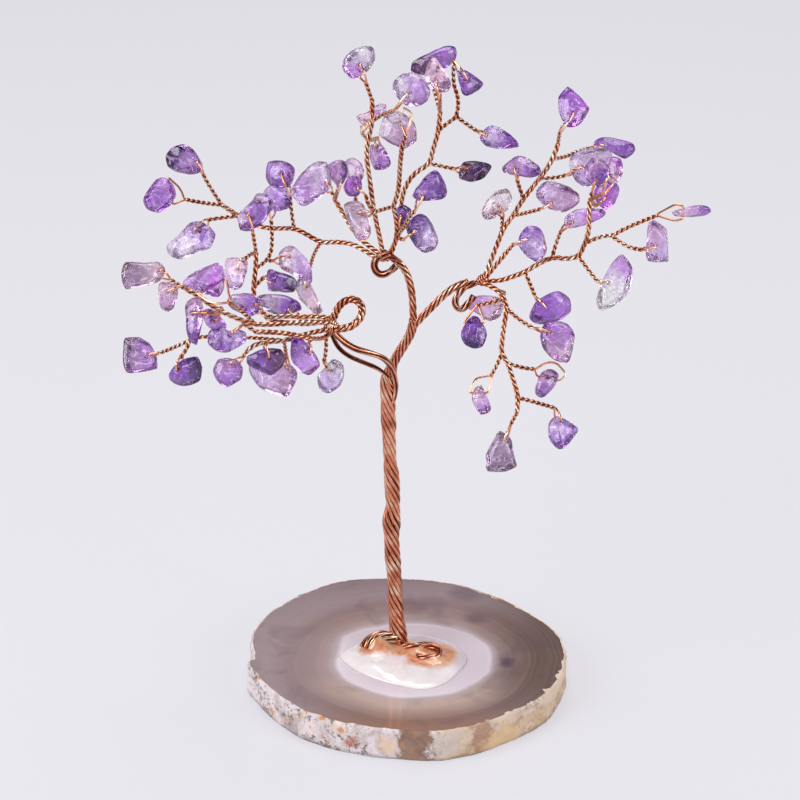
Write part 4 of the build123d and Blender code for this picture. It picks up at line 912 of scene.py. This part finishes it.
             [397, 209, 404, 205, 411, 209, 410, 217, 403, 225, 397, 221]),
            ("middle_right_chips", "b", (404, 240), (413, 232), -9, (12, 18), 1.0, "deep lilac", -40,
             [405, 229, 413, 217, 422, 213, 432, 223, 438, 242, 434, 250, 424, 253, 412, 243]),
        ],
    },
    "middle_top_spray": {
        "stem": "abcdefghk", "points": {"a": (387, 257, -17), "b": (401, 236, -29), "c": (400, 206, -34),
            "d": (406, 184, -34), "e": (416, 172, -34), "f": (430, 164, -34), "g": (433, 149, -36),
            "h": (439, 131, -38), "k": (440, 112, -40), "m": (449, 122, -38), "n": (457, 117, -38),
            "p": (459, 98, -40), "q": (452, 82, -42), "r": (469, 126, -38), "s": (444, 167, -32),
            "t": (436, 98, -54)},
        "stones": [
            ("middle_right_chips", "kt", (433, 84), (431, 72), -68, (-16, 14), 0.95, "plum violet", 20,
             [410, 63, 427, 54, 446, 46, 456, 47, 456, 58, 446, 69, 431, 76, 411, 72]),
            ("middle_right_chips", "k", (440, 99), (438, 84), -27, (14, -12), 0.95, "rose mauve", -60,
             [434, 57, 442, 67, 451, 83, 447, 92, 436, 91, 425, 81, 426, 70]),
            ("middle_diamond_chip", "hmnpq", (454, 61), (465, 80), -42, (-8, 18), 0.9, "violet deep", 0,
             [457, 71, 464, 69, 476, 77, 484, 84, 478, 91, 467, 96, 462, 93, 459, 82]),
            ("middle_wing_chip", "nr", (477, 131), (488, 135), -38, (-12, -10), 0.9, "lilac purple", -15,
             [478, 136, 487, 127, 494, 125, 506, 131, 517, 141, 518, 148, 502, 149, 486, 146]),
            ("middle_indigo_chip", "fs", (455, 169), (466, 171), -30, (14, 14), 0.9, "plum indigo", 0,
             [462, 163, 475, 161, 489, 164, 492, 168, 484, 178, 471, 182, 459, 178]),
        ],
    },
    "right_high_spray": {
        "stem": "abcdefghk", "points": {"a": (484, 279, 4), "b": (492, 258, -2), "c": (499, 240, -8),
            "d": (504, 227, -14), "e": (513, 216, -20), "f": (523, 199, -28), "g": (540, 178, -38),
            "h": (553, 160, -46), "k": (558, 144, -50), "m": (503, 228, -24), "n": (520, 189, -31),
            "p": (528, 213, -6), "r": (553, 179, -38), "s": (566, 157, -62), "t": (580, 150, -76)},
        "stones": [
            ("right_high_chips", "fn", (517, 179), (516, 169), -33, (10, -12), 0.9, "mauve violet", -20,
             [499, 171, 508, 162, 517, 156, 529, 158, 539, 166, 541, 175, 531, 178, 513, 175]),
            ("right_high_chips", "cm", (502, 217), (497, 206), -34, (-14, 20), 1.05, "snow rose", -90,
             [488, 200, 499, 189, 508, 188, 512, 197, 509, 208, 499, 215, 486, 221, 482, 212]),
            ("right_top_chip", "k", (560, 132), (571, 115), -52, (8, 16), 1.0, "violet magenta", -60,
             [559, 94, 566, 86, 574, 92, 584, 102, 589, 110, 581, 123, 572, 131, 564, 123, 559, 111]),
            ("right_high_chips", "hst", (588, 148), (605, 144), -84, (-10, -14), 0.95, "violet purple", 0,
             [592, 142, 602, 137, 618, 139, 633, 143, 635, 151, 625, 159, 611, 152, 597, 148]),
            ("right_high_chips", "gr", (567, 175), (580, 169), -40, (12, 12), 1.05, "ash lilac", -60,
             [567, 160, 580, 150, 598, 145, 611, 153, 612, 169, 602, 182, 586, 187, 573, 178]),
            ("right_high_chips", "ep", (541, 209), (553, 202), 2, (-12, -10), 0.95, "lilac mauve", -30,
             [536, 190, 546, 181, 563, 183, 578, 191, 579, 203, 565, 212, 549, 209, 538, 202]),
        ],
    },
    "right_single_spray": {
        "stem": "abc", "points": {"a": (486, 277, 12), "b": (495, 266, 16), "c": (506, 253, 18)},
        "stones": [
            ("right_striped_chip", "c", (514, 244), (525, 241), 20, (10, 16), 1.0, "purple lilac", -80,
             [520, 233, 527, 225, 538, 225, 544, 232, 549, 250, 541, 264, 528, 258, 518, 245],
             {"trim": 0.92}),
        ],
    },
    "right_wide_spray": {
        "stem": "abcdefghkmnz", "points": {"a": (486, 281, 8), "b": (500, 281, 12), "c": (512, 277, 16),
            "d": (525, 272, 18), "e": (538, 264, 18), "f": (552, 257, 16), "g": (566, 259, 18),
            "h": (579, 257, 20), "k": (585, 244, 24), "m": (589, 231, 26), "n": (589, 213, 25),
            "p": (600, 236, 25), "r": (612, 236, 22), "s": (624, 229, 18), "t": (640, 222, 14),
            "u": (622, 244, 26), "v": (634, 249, 28), "w": (588, 270, 28), "x": (530, 283, 24),
            "y": (556, 243, 10), "z": (590, 200, 20)},
        "stones": [
            ("right_wide_chips", "z", (592, 192), (596, 180), 16, (-14, -10), 0.85, "mauve purple", -60,
             [583, 170, 592, 157, 603, 160, 614, 173, 608, 183, 596, 187, 586, 180]),
            ("right_wide_chips", "z", (596, 206), (603, 200), -12, (16, 20), 0.95, "purple magenta", -70,
             [594, 191, 602, 182, 613, 180, 620, 190, 615, 203, 606, 210, 597, 202]),
            ("right_wide_chips", "z", (603, 194), (612, 178), 44, (10, -26), 0.8, "magenta rose", -80,
             [612, 157, 621, 159, 623, 170, 619, 181, 611, 184, 607, 172]),
            ("right_wide_chips", "fy", (561, 231), (571, 221), 12, (-10, 10), 0.85, "lilac magenta", 10,
             [564, 219, 575, 210, 592, 208, 609, 210, 603, 217, 584, 226, 567, 228]),
            ("right_far_tip_chip", "kprst", (658, 215), (683, 210, 683, 214), 10, (8, -14), 0.9, "rose violet",
             0,
             [671, 212, 684, 208, 698, 205, 709, 207, 711, 212, 704, 216, 688, 217, 673, 216],
             {"out": [676, 204], "back": [675, 221]}),
            ("right_far_tall_chip", "ruv", (643, 250), (654, 246), 30, (-8, 14), 0.9, "mauve lilac", -60,
             [649, 221, 658, 218, 667, 227, 669, 248, 669, 266, 656, 265, 646, 262, 646, 240],
             {"trim": 0.94}),
            ("right_clear_long_chip", "hw", (598, 282), (609, 284), 36, (10, -12), 1.0, "orchid snow", -110,
             [612, 263, 621, 253, 629, 256, 633, 270, 630, 290, 617, 304, 601, 311, 596, 302, 602, 282]),
            ("right_wide_chips", "dx", (535, 296), (543, 306), 20, (-14, 16), 1.1, "purple violet", 30,
             [536, 302, 546, 295, 559, 291, 570, 299, 571, 310, 561, 319, 541, 326, 529, 318]),
        ],
    },
    "right_hanging_spray": {
        "stem": "abcdefghkmn", "points": {"a": (484, 283, 14), "b": (497, 289, 22), "c": (504, 298, 27),
            "d": (507, 308, 31), "e": (504, 326, 35), "f": (502, 342, 39), "g": (501, 353, 42),
            "h": (508, 363, 44), "k": (513, 380, 49), "m": (519, 398, 54), "n": (517, 413, 60),
            "p": (492, 303, 33), "r": (519, 321, 36), "s": (497, 366, 48), "t": (524, 369, 44),
            "u": (536, 402, 53)},
        "stones": [
            ("right_violet_chip", "dr", (533, 328), (551, 334), 47, (12, -10), 0.95, "violet mauve", -90,
             [543, 325, 554, 321, 568, 324, 575, 335, 573, 352, 568, 364, 555, 361, 543, 349, 540, 337]),
            ("right_dark_drop_chip", "cp", (478, 305), (471, 323, 477, 323), 38, (4, -6), 1.1, "purple deep",
             -60,
             [472, 316, 478, 317, 484, 325, 487, 335, 483, 346, 474, 349, 464, 344, 461, 333, 466, 322]),
            ("right_wide_chips", "b", (505, 293), (497, 303), 2, (-16, -12), 0.95, "orchid rose", -10,
             [462, 305, 470, 298, 482, 295, 497, 297, 504, 303, 501, 316, 490, 321, 478, 314]),
            ("right_pale_hanging_chip", "gs", (491, 376), (476, 393, 483, 393), 52, (6, 8), 0.95, "rose orchid",
             -70,
             [478, 384, 481, 384, 486, 394, 491, 408, 488, 413, 480, 414, 473, 402, 472, 393],
             {"out": [476, 378, 472, 386]}),
            ("right_big_loop_chip", "ht", (534, 369), (541, 377, 551, 379), 44, (8, 10), 0.95, "mauve violet",
             -90,
             [541, 373, 548, 369, 555, 370, 559, 375, 555, 386, 546, 396, 540, 398, 535, 394, 536, 383],
             {"back": [567, 375, 557, 363, 547, 362]}),
            ("right_smoky_hanging_chip", "n", (511, 424), (505, 441), 64, (6, -8), 1.0, "ash smoke", -60,
             [499, 431, 506, 431, 512, 441, 514, 455, 517, 467, 505, 472, 489, 472, 483, 463, 490, 446]),
            ("right_lowest_outer_chip", "mu", (555, 408), (559, 422), 52, (10, 12), 0.95, "lilac purple", -60,
             [549, 423, 556, 416, 567, 420, 578, 428, 577, 436, 565, 448, 557, 449, 549, 438]),
        ],
    },
}
stoneColumns = ("node", "twig", "meet", "hole", "toward", "lean", "thick", "tints", "way", "outline", "more")

# Lengths are in mm. Belts are the pebble's form from its back to its front: how high each stands, as a share of
# the thickness, and how wide it is. Chops cut the stone back to between two shares of its reach
stoneLook = {
    "thickness": 3.0, "hole": 1.0, "fine": 6, "round": 0.36, "voxel": 0.2, "smooths": 2, "ripple": 0.10,
    "rippleSize": 1.8, "wedge": 0.25, "chops": 9, "chopDepth": (0.72, 0.90), "chopLean": (0.75, 0.85),
    "chopCut": 0.95, "keepNearHole": (0.6, 0.8), "blend": 0.8, "drillSides": 20, "drillLength": 40,
    "belts": [(-0.5, 0.45), (-0.46, 0.66), (-0.36, 0.84), (-0.20, 0.96), (-0.06, 1.0), (0.08, 1.0),
              (0.22, 0.95), (0.36, 0.83), (0.46, 0.64), (0.5, 0.44)],
}
wireLook = {"wire": 0.24, "twigReach": 0.24, "pitch": 2.4, "stemWires": 3, "stemWire": 0.26, "stemReach": 0.30,
            "stemPitch": 4.2, "step": 0.2, "clearance": 0.3, "legOffset": 0.5, "wide": 1.3, "narrow": 0.45,
            "nearJoint": 0.8, "mostBend": 0.48, "bendSteps": 5}


# A stone's row, with what follows from it: its plane, its outline and its hole's axis in space, and half its
# thickness
def readStone(row):
    stone = dict(zip(stoneColumns, row))
    stone.update(stone.get("more", {}))
    back, turn = (math.radians(value) for value in stone["lean"])
    normal = lookWay * (-math.cos(back) * math.cos(turn)) + upWay * (math.sin(back) * math.cos(turn))
    normal = (normal + rightWay * math.sin(turn)).normalized()
    hole = stone["hole"]
    origin = place((hole[0] + hole[-2]) / 2, (hole[1] + hole[-1]) / 2, stone["toward"])

    def inSpace(flat):
        return [onPlane(px, py, origin, normal) for px, py in zip(flat[::2], flat[1::2])]

    ends = inSpace(hole)
    stone.update(origin=origin, normal=normal, corners=inSpace(stone["outline"]),
                 out=inSpace(stone.get("out", ())), back=inSpace(stone.get("back", ())),
                 across=len(ends) == 2, axis=(ends[1] - ends[0]).normalized() if len(ends) == 2 else normal,
                 tints=stone["tints"].split(), half=stoneLook["thickness"] * stone["thick"] / 2 * mm)
    return stone


# How far a line in the stone's own plane runs from a point inside to the outline
def rimReach(stone, start, direction):
    corners = stone["corners"]
    side = stone["normal"].cross(direction)
    best = 0.0
    for a, b in zip(corners, corners[1:] + corners[:1]):
        offA, offB = (a - start).dot(side), (b - start).dot(side)
        if (offA < 0) != (offB < 0):
            best = max(best, (a + (b - a) * (offA / (offA - offB)) - start).dot(direction))
    return best


def roundedOff(spot):
    return tuple(round(value, 9) for value in spot)


def pebble(stone):
    look = stoneLook
    origin, normal = stone["origin"], stone["normal"]
    rim = closedLine(stone["corners"], look["fine"], look["round"])
    rim = [origin + (spot - origin) * stone.get("trim", 1.0) for spot in rim]
    middle = sum(rim, Vector()) / len(rim)
    span = max((spot - middle).length for spot in rim)
    slope = Vector(noise.random_unit_vector())
    slope = (slope - normal * slope.dot(normal)).normalized()
    form, ring, edges = cappedLine(rim)
    for index, (height, width) in enumerate(look["belts"]):
        if index:
            edges, raised = raisedEdges(form, edges)
            found = {roundedOff(vertex.co): vertex for vertex in raised}
            ring = [found[roundedOff(vertex.co)] for vertex in ring]  # in the order of the ring below
        for vertex, spot in zip(ring, rim):
            offset = (spot - middle) * width
            rise = height * 2 * stone["half"] * (1 + look["wedge"] * offset.dot(slope) / span)
            vertex.co = middle + offset + normal * rise
    closeForm(form, edges)
    return form, middle, span


# A drilled and tumbled stone: the pebble less its hole, made one even mesh, chopped and worn smooth
def tumbledStone(name, stone, seed):
    look = stoneLook
    noise.seed_set(seed)
    form, middle, span = pebble(stone)
    rough = meshPiece(name + "_rough", form)
    origin, axis, normal = stone["origin"], stone["axis"], stone["normal"]
    drill = bmesh.new()
    radius = look["hole"] / 2 * mm
    bmesh.ops.create_cone(drill, cap_ends=True, segments=look["drillSides"], radius1=radius, radius2=radius,
                          depth=look["drillLength"] * mm)
    turn = axis.to_track_quat("Z", "Y").to_matrix().to_4x4()
    turn.translation = origin
    bmesh.ops.transform(drill, matrix=turn, verts=drill.verts)
    cutter = meshPiece(name + "_drill", drill)
    cut = rough.modifiers.new("drilled", "BOOLEAN")
    cut.operation = "DIFFERENCE"
    cut.solver = "EXACT"
    cut.object = cutter
    remesh = rough.modifiers.new("grain", "REMESH")
    remesh.mode = "VOXEL"
    remesh.voxel_size = look["voxel"] * mm
    bpy.context.view_layer.update()
    evenMesh = bpy.data.meshes.new_from_object(rough.evaluated_get(bpy.context.evaluated_depsgraph_get()))
    bpy.data.objects.remove(rough)
    bpy.data.objects.remove(cutter)
    form = bmesh.new()
    form.from_mesh(evenMesh)
    bpy.data.meshes.remove(evenMesh)
    chops = []
    low, high = look["chopDepth"]
    across, toFace = look["chopLean"]
    for _ in range(look["chops"]):
        way = Vector(noise.random_unit_vector())
        flat = (way - normal * way.dot(normal)).normalized()
        way = (flat * across + normal * (toFace if way.dot(normal) > 0 else -toFace)).normalized()
        reach = max((vertex.co - middle).dot(way) for vertex in form.verts)
        chops.append((way, reach * (low + (high - low) * noise.random())))
    kept, freeOver = look["keepNearHole"]
    for vertex in form.verts:
        fromAxis = vertex.co - origin
        fromAxis -= axis * fromAxis.dot(axis)
        free = min(1.0, max(0.0, (fromAxis.length - kept * mm) / (freeOver * mm)))
        for way, limit in chops:
            over = (vertex.co - middle).dot(way) - limit
            if over > 0:
                vertex.co -= way * (over * look["chopCut"] * free)
        ripple = noise.noise(vertex.co / (look["rippleSize"] * mm) + Vector((seed * 3.1, 0, 0)))
        vertex.co += vertex.normal * (ripple * look["ripple"] * mm * free)
    for _ in range(look["smooths"]):
        bmesh.ops.smooth_vert(form, verts=form.verts, factor=0.5, use_axis_x=True, use_axis_y=True,
                              use_axis_z=True)
    piece = meshPiece(name, form)
    piece.data.shade_smooth()
    angle = math.radians(stone["way"])
    way = rightWay * math.cos(angle) + upWay * math.sin(angle)
    finish = stoneFinish(name + "_finish", stone["tints"], way, middle, look["blend"] * span, seed)
    node = stone["node"]
    body = node if node in frame["bodies"] else "tree"
    return finishPiece(piece, [finish], body, node)


# A bend at each corner of a loop
def bentLine(points, bends):
    bent = [points[0]]
    for i in range(1, len(points) - 1):
        before, after = points[i] - points[i - 1], points[i + 1] - points[i]
        cut = min(bends[i], wireLook["mostBend"] * before.length, wireLook["mostBend"] * after.length)
        start = points[i] - before.normalized() * cut
        end = points[i] + after.normalized() * cut
        for k in range(wireLook["bendSteps"] + 1):
            share = k / wireLook["bendSteps"]
            bent.append(start.lerp(points[i], share).lerp(points[i].lerp(end, share), share))
    bent.append(points[-1])
    return bent


# The loop that holds a stone, from one leg's foot through the hole to the other's: its first side, its corners
# and how wide each one bends
def loopPoints(stone, joint):
    origin, normal, axis, out, back = (stone[key] for key in ("origin", "normal", "axis", "out", "back"))
    rise = stone["half"] + wireLook["legOffset"] * mm
    wide, narrow = wireLook["wide"] * mm, wireLook["narrow"] * mm
    if "legs" in stone:
        points = [onPlane(px, py, origin, normal) + normal * (side * rise) for px, py, side in stone["legs"]]
        return normal, points, [narrow] * len(points)
    if stone["across"]:
        one, two = (origin + way * (rimReach(stone, origin, way) + wireLook["legOffset"] * mm)
                    for way in (axis * -1, axis))
        return axis * -1, out + [one, two] + back, [wide] * len(out) + [narrow, narrow] + [wide] * len(back)
    towardJoint = (joint - origin).normalized()
    reach = min(rimReach(stone, origin, towardJoint) + wireLook["clearance"] * mm,
                wireLook["nearJoint"] * (joint - origin).length)
    foot = origin + towardJoint * reach
    points = [foot + normal * rise, origin + normal * rise, origin - normal * rise, foot - normal * rise]
    return normal, points, [wide, narrow, narrow, wide]


def twigEnd(stone):
    joint = onPlane(*stone["meet"], stone["origin"], stone["normal"])
    return joint + stone["normal"] * (stone.get("lift", 0.0) * (stone["half"] + wireLook["legOffset"] * mm))


# A twig is one wire: up as one strand, round the loop and down again as the other
def twigWire(route, stone):
    spots = smoothLine(route, wireLook["step"] * mm)
    ways = crossWays(spots)
    side, corners, bends = loopPoints(stone, spots[-1])
    first, second = ways[-1]
    pitch, reach = wireLook["pitch"] * mm, wireLook["twigReach"] * mm
    angle = math.atan2(side.dot(second), side.dot(first)) + 2 * math.pi * lineLength(spots) / pitch
    up = strand(spots, ways, angle, reach, pitch)
    down = strand(spots, ways, angle + math.pi, reach, pitch)
    loop = evenly(bentLine([up[-1]] + corners + [down[-1]], [0.0] + bends + [0.0]), wireLook["step"] * mm)
    return up[:-1] + loop + down[-2::-1], wireLook["wire"], spots[:-1] + [None] * len(loop) + spots[-2::-1]


stones = []
for sprayName, spray in sprays.items():
    held = [readStone(row) for row in spray["stones"]]
    spots = {letter: place(*point) for letter, point in spray["points"].items()}
    stem = smoothLine([spots[letter] for letter in spray["stem"]], wireLook["step"] * mm)
    for letter in spray["stem"][1:-1]:  # the twigs leave from the stem's smooth line
        spots[letter] = min(stem, key=lambda spot: (spot - spots[letter]).length_squared)
    wires = twist(stem, *(wireLook[key] for key in ("stemWires", "stemReach", "stemPitch", "stemWire")))
    wires += [twigWire([spots[letter] for letter in stone["twig"]] + [twigEnd(stone)], stone) for stone in held]
    piece = wirePiece(sprayName + "_wires", wires, sprayName, 1)
    stones += held
    print(sprayName, len(wires), "wires", len(piece.data.polygons), "faces")

counts = {}
for seed, stone in enumerate(stones, 1):
    counts[stone["node"]] = counts.get(stone["node"], 0) + 1
    tumbledStone(stone["node"] + "_stone" + str(counts[stone["node"]]), stone, seed)
print(len(stones), "stones ready")


def bell(value, middle, width, height):
    return height * math.exp(-((value - middle) / width) ** 2)


def grainAt(spot, size, fall, tighter, layers, shift=0.0):
    return noise.fractal(spot / (size * mm) + Vector((shift, 0, 0)), fall, tighter, layers)


# Rim is the outline's reach at even angles, as a share of half the width or depth. Coarse, small and ragged are
# noise, with a size in mm. The rim juts out at the left, as where a flake has broken away behind it. Juts and
# tears are a middle and a width in degrees, and how much. Low belts are mm above the underside and high ones mm
# below the top
sliceLook = {
    "width": 70.0, "depth": 69.0, "thickness": 7.2, "edge": 0.5, "edgeInset": 0.3, "fine": 20, "belts": 18,
    "lowBelts": [0.25, 0.5], "highBelts": [0.2, 0.06, 0.0], "roughness": 0.5, "coarse": (5.0, 1.0, 2.1, 4),
    "small": (1.2, 0.9, 2.2, 3, 5), "shares": (0.7, 0.35), "face": 0.02, "faceShare": 0.6, "jutsFrom": 186,
    "juts": [(184, 7, -0.3), (189, 6, 0.9)], "skin": 0.25, "torn": 2.6, "ragged": (3.0, 0.9, 2.2, 4),
    "tornMore": 0.1,
    "tears": [(-38, 26, 1.0), (52, 14, 0.45), (135, 20, 0.35), (-110, 16, 0.3)],
    "rim": [0.998, 0.992, 0.973, 0.943, 0.94, 0.936, 0.946, 0.966, 0.976, 0.987, 1.013, 1.045,
            1.053, 1.041, 1.038, 1.036, 1.032, 1.017, 0.992, 1.0, 0.991, 0.984, 0.981, 0.983,
            0.981, 0.972, 0.977, 0.99, 1.012, 1.011, 1.003, 0.994, 1.003, 1.009, 1.001, 1.002],
}


def stoneSlice():
    look = sliceLook
    thickness, edge = look["thickness"], look["edge"]
    corners = []
    for i, share in enumerate(look["rim"]):
        angle = 2 * math.pi * i / len(look["rim"])
        corners.append(Vector((share * look["width"] / 2 * math.cos(angle),
                               share * look["depth"] / 2 * math.sin(angle), 0)) * mm)
    form, _, edges = cappedLine(closedLine(corners, look["fine"]))
    levels = look["lowBelts"] + [edge + (thickness - 2 * edge) * (i + 1) / look["belts"]
                                 for i in range(look["belts"])]
    levels += [thickness - gap for gap in look["highBelts"]]
    height = 0.0
    for level in levels:
        edges, raised = raisedEdges(form, edges)
        bmesh.ops.translate(form, verts=raised, vec=(0, 0, (level - height) * mm))
        height = level
    coarseShare, smallShare = look["shares"]
    juts = look["juts"]
    for vertex in form.verts:
        z = vertex.co.z / mm
        fromFace = min(z, thickness - z)
        out = Vector((vertex.co.x, vertex.co.y, 0)).normalized()
        inset = look["edgeInset"] * max(0.0, 1 - fromFace / edge) ** 1.5
        grain = look["roughness"] * (coarseShare * grainAt(vertex.co, *look["coarse"])
                                     + smallShare * grainAt(vertex.co, *look["small"]))
        if fromFace < look["face"]:
            grain *= look["faceShare"]
        angle = math.degrees(math.atan2(out.y, out.x)) % 360
        grain += bell(angle, *(juts[1] if angle > look["jutsFrom"] else juts[0]))
        vertex.co += out * ((grain - inset) * mm)

    # The skin of the rind shows from above as a thin line, and is torn wider in places
    edges, raised = raisedEdges(form, edges)
    for vertex in raised:
        flat = Vector((vertex.co.x, vertex.co.y, 0))
        angle = math.degrees(math.atan2(flat.y, flat.x))
        ragged = max(0.0, grainAt(flat, *look["ragged"]) + look["tornMore"])
        width = look["skin"] + look["torn"] * ragged * sum(bell(angle, *tear) for tear in look["tears"])
        vertex.co -= flat.normalized() * (width * mm)
    closeForm(form, edges)
    for face in form.faces:
        face.material_index = 0 if len(face.verts) > 8 else 1  # the two sawn faces, and the rind
        face.smooth = abs(face.normal.z) < 0.98
    piece = meshPiece("agate_slice_stone", form)
    return finishPiece(piece, [agateTopFinish(), agateRindFinish()], "tree", "agate_slice")


stoneSlice()
print("slice ready")

# The puddle's outline is in pixels and its rings are shares of it. Mounds are a middle in mm from the foot, a
# height and a width. Golden spots are a middle in mm from the foot and a reach
glueLook = {
    "outline": [(340, 655), (346, 664), (360, 673), (380, 681), (402, 687), (425, 690), (445, 684), (457, 674),
                (467, 662), (461, 650), (448, 642), (430, 637), (408, 634), (385, 635), (366, 640), (351, 648)],
    "fine": 8, "rings": [0.985, 0.96, 0.92, 0.86, 0.78, 0.69, 0.6, 0.5, 0.4, 0.3, 0.2, 0.1, 0.04],
    "flat": 1.0, "edge": 0.35, "moundEdge": 0.2, "lump": 0.22, "lumps": (2.4, 1.0, 2.0, 3), "thin": 0.05,
    "mounds": [((0.0, 0.0), 1.5, 2.6), ((-5.0, -1.6), 4.2, 2.5), ((3.9, -2.8), 1.5, 2.3),
               ((7.2, -5.4), 1.2, 2.4), ((-4.0, -8.0), 0.6, 5.0)],
    "golden": [((6.6, -4.0, 1.2), 5.8), ((-5.0, -0.8, 2.6), 4.6), ((0.3, -1.0, 1.0), 4.2)],
}


def gluePuddle():
    look = glueLook
    foot = view["foot"]
    outline = closedLine([onPlane(px, py, foot, Vector((0, 0, 1))) for px, py in look["outline"]], look["fine"])
    centre = sum(outline, Vector()) / len(outline)
    form, _, edges = cappedLine(outline)
    last = 1.0
    for share in look["rings"]:
        edges, raised = raisedEdges(form, edges)
        inward = min(1.0, (1 - share) / look["edge"])
        for vertex in raised:
            spot = centre + Vector((vertex.co.x - centre.x, vertex.co.y - centre.y, 0)) * (share / last)
            rise = look["flat"] * math.sqrt(inward * (2 - inward))
            for middle, lift, width in look["mounds"]:
                gap = (spot - foot - Vector((*middle, 0)) * mm).length
                rise += bell(gap, 0.0, width * mm, lift) * min(1.0, (1 - share) / look["moundEdge"])
            rise += look["lump"] * grainAt(spot, *look["lumps"]) * inward
            vertex.co = Vector((spot.x, spot.y, foot.z + max(look["thin"], rise) * mm))
        last = share
    closeForm(form, edges)
    piece = meshPiece("glue_puddle_clear", form)
    piece.data.shade_smooth()
    finish = glueFinish([(foot + Vector(spot) * mm, reach * mm) for spot, reach in look["golden"]])
    return finishPiece(piece, [finish], "tree", "glue_puddle")


gluePuddle()
print("glue ready")

# The room that the camera and the glossy wires see is the floor's colour at the sides and darker overhead.
# Sizes are in metres
stageLook = {"floor": (226, 224, 231), "size": 3.0, "worldLight": 0.40, "floorGlow": 0.72,
             "ceiling": (92, 82, 90), "ceilingFrom": (0.04, 0.42), "roughness": 0.9, "specular": 0.1}
lampLooks = {
    "leftSoftbox": {"spot": (-0.62, -0.35, 0.50), "size": 0.50, "power": 4.6},
    "rightSoftbox": {"spot": (0.62, -0.40, 0.38), "size": 0.40, "power": 2.6},
    "topSoftbox": {"spot": (0.0, 0.20, 0.80), "size": 0.50, "power": 3.2},
}
lampTarget = Vector((0, 0, 0.07))


def rayIsSeen(tree):
    path = addNode(tree, "LightPath", {}).outputs
    seen = mathOf(tree, "MAXIMUM", path["Is Camera Ray"], path["Is Glossy Ray"])
    return mathOf(tree, "MAXIMUM", seen, path["Is Transmission Ray"])


def paleRoom():
    look = stageLook
    world = bpy.data.worlds.new("paleRoom")
    scene.world = world
    world.use_nodes = True
    tree = world.node_tree
    tree.nodes.clear()
    direction = addNode(tree, "TexCoord", {}).outputs["Generated"]
    high = rampValue(tree, axesOf(tree, direction)["Z"], *look["ceilingFrom"])
    seen = addNode(tree, "Background", {"Color": mixColour(tree, high, look["floor"], look["ceiling"])})
    lights = addNode(tree, "Background", {"Color": (1.0, 1.0, 1.0, 1.0), "Strength": look["worldLight"]})
    mixed = addNode(tree, "MixShader", {0: rayIsSeen(tree), 1: lights.outputs[0], 2: seen.outputs[0]})
    addNode(tree, "OutputWorld", {0: mixed.outputs[0]})


def paleFloor():
    look = stageLook
    form = bmesh.new()
    bmesh.ops.create_grid(form, x_segments=1, y_segments=1, size=look["size"] / 2)
    floor = meshPiece("floor", form)
    finish, tree, shader = newFinish("paleFloor")
    colour = tint(*look["floor"])
    feed(tree, shader, {"Base Color": colour, "Roughness": look["roughness"],
                        "Specular IOR Level": look["specular"]})
    glow = addNode(tree, "Emission", {"Color": colour})
    share = times(tree, rayIsSeen(tree), look["floorGlow"])
    mixed = addNode(tree, "MixShader", {0: share, 1: shader.outputs[0], 2: glow.outputs[0]})
    output = [node for node in tree.nodes if node.type == "OUTPUT_MATERIAL"][0]
    feed(tree, output, {0: mixed.outputs[0]})
    floor.data.materials.append(finish)


def softLamps():
    for name, look in lampLooks.items():
        data = bpy.data.lights.new(name, "AREA")
        data.shape = "SQUARE"
        data.size = look["size"]
        data.energy = look["power"]
        lamp = bpy.data.objects.new(name, data)
        lamp.location = look["spot"]
        lamp.rotation_euler = (lampTarget - lamp.location).to_track_quat("-Z", "Y").to_euler()
        scene.collection.objects.link(lamp)


def viewCamera():
    data = bpy.data.cameras.new("viewCamera")
    data.sensor_fit = "HORIZONTAL"
    data.sensor_width = view["sensor"]
    data.lens = view["focal"] * view["sensor"] / view["frame"]
    data.clip_start = 0.01
    data.clip_end = 20
    camera = bpy.data.objects.new("viewCamera", data)
    camera.location = eye
    camera.rotation_euler = (math.radians(90 - view["tilt"]), 0, 0)
    scene.collection.objects.link(camera)
    scene.camera = camera


paleRoom()
paleFloor()
softLamps()
viewCamera()
scene.view_settings.view_transform = "Standard"
bpy.context.view_layer.update()
